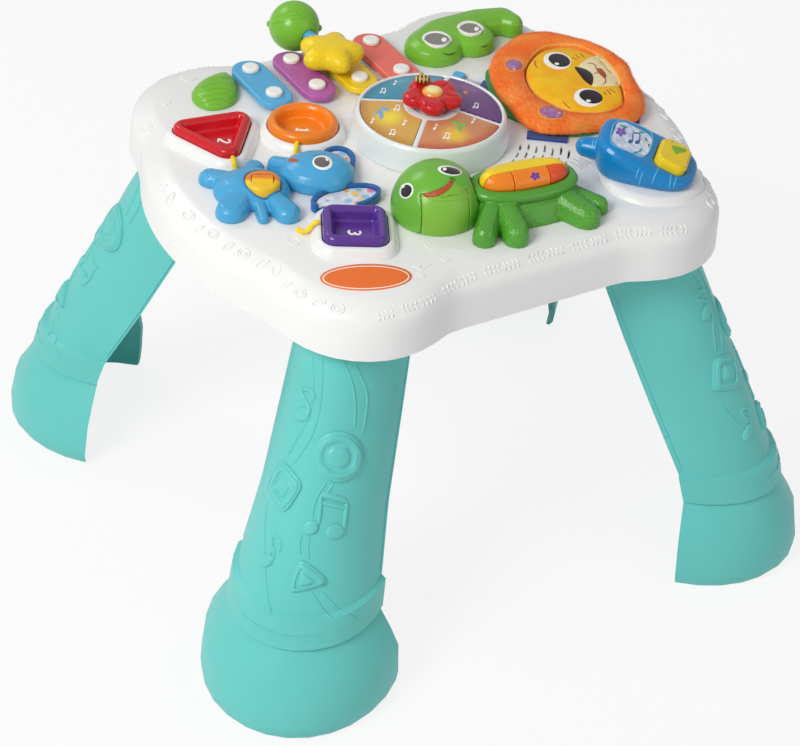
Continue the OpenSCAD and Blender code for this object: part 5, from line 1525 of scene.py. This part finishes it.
# %% Mallet
BALL = Vector((-0.023, 0.1586, 0.3292))
NUB_OUT, NUB_R = 18.6, 2.8
UP = Vector((0, 0, 1))
ball_level = Vector((0.839, -0.544, 0)).normalized()
ball_veins = [[(500, 100), (540, 70), (600, 52), (665, 70), (705, 105)],
              [(545, 80), (580, 98), (640, 92), (668, 74)],
              [(600, 52), (605, 75), (612, 94)], [(556, 62), (590, 78), (640, 74)],
              [(480, 130), (520, 110), (560, 112)], [(660, 108), (690, 118), (716, 140)]]
nubs = Carving()
for hand in (1, -1):
    rows = []
    for t in (math.pi * k / 12 for k in range(1, 12)):
        middle = BALL + ball_level * hand * (NUB_OUT + NUB_R * -math.cos(t)) * MM
        ways = [ball_level.cross(UP) * math.cos(a) + UP * math.sin(a) for a in circle(18)]
        rows.append([middle + way * NUB_R * math.sin(t) * MM for way in ways])
    nubs.rings(rows)
nubs.make("mallet_nubs", finishes["leaf_green"], body="mallet", slot="leaf_green")
veins = Carving().beads(Surface("mallet_ball"), print_a, ball_veins, 18, 1.4, 0.55, taper=4)
veins.make("mallet_veins", finishes["leaf_green"], body="mallet", slot="leaf_green")

# %% Label and key flower
# Middle, half axes and tilt of the two ovals.
LABEL_OVAL = (366, 277.5, 46, 13.2, -1.2)
BORDER_OVAL = (366, 277.4, 42.8, 11.2, -1.2)
label_face = Carving().patch(on_shell, oval(*LABEL_OVAL, 72), 0.7, 0.1)
label_face.make("label_face", finishes["label_orange"], slot="label_orange", replaces=("label",))
white_line = Carving()
white_line.bead(Surface("label_face"), oval(*BORDER_OVAL, 90), 0.9, 0.2, closed=True, sides=7)
white_line.make("label_border", paint_white, slot="pin_white")
key_bloom = blossom(Surface("key_swirl"), print_b, 716, 812, 24)
key_bloom.make("key_flower", moulded("ink_plum", "#6c3fa8", 0.3, FINE), body="swirl_key", slot="purple")

# %% [markdown]
# Fine grey arcs are printed between the speaker's slots, all round one centre, broken at random but
# always in the same way. A disc of cloth lies behind the slots.

# %% Speaker print
random.seed(11)
FIRST_R, PITCH, ARCS, LAST_ANGLE = 27, 2.5, 11, 80
DECK_LOW, DECK_HIGH = 0.3085, 0.3095
ARCS_MIDDLE = (46.7, -82.3)
CLOTH_AT = Vector((0.0675, -0.056, 0))
cloth_profile = [(0.0238, 0.30545), (0.024, 0.30555), (0.024, 0.3058), (0.0238, 0.3059)]
arcs = Carving()
deck_down = Surface("top_shell", how="down", at=ARCS_MIDDLE)
for k in range(ARCS):
    radius, angle = FIRST_R + PITCH * k, 4 + 3 * random.random()
    while angle < LAST_ANGLE:
        long = random.uniform(9, 24)
        run = [(radius * math.cos(math.radians(a)), radius * math.sin(math.radians(a)))
               for a in (angle + long * j / 12 for j in range(13))]
        landed = [deck_down(*spot) for spot in run]
        if all(hit and DECK_LOW < hit[0].z < DECK_HIGH for hit in landed):
            arcs.bead(deck_down, run, 0.6, 0.12, sides=6)
        angle += long + random.uniform(3, 7)
arcs.make("speaker_print", moulded("ink_grey", "#8d8f93", 0.4, FINE), slot="plate_grey")
cloth_rings = [[CLOTH_AT + Vector((r * math.cos(t), r * math.sin(t), z)) for t in circle(48)]
               for r, z in cloth_profile]
speaker_cloth = Carving().rings(cloth_rings)
cloth_grey = fabric("cloth_grey", "#b4b6b9", "#cfd0d2", 0.6, 1.0, 0.3, 0.2)
speaker_cloth.make("speaker_cloth", cloth_grey, slot="speaker_black")

# %% [markdown]
# Three woven ribbons tie the lion to the deck over a sheet of green felt. Both are part of the frame,
# so only their finish is changed here.

# %% Ribbon and felt
nodes["lion_straps"].material_slots[0].material = ribbon_blue
nodes["lion_backing"].material_slots[0].material = felt_green
print("the lion's straps are woven and its backing is felt")

# %% [markdown]
# Last, the size of the whole table is printed beside the frame's.

# %% Size and finish
size_of_model = [list(corner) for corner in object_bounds()]
for name, (low, high) in {"model": size_of_model, "frame": size_of_frame}.items():
    print(name, [round(b - a, 3) for a, b in zip(low, high)])
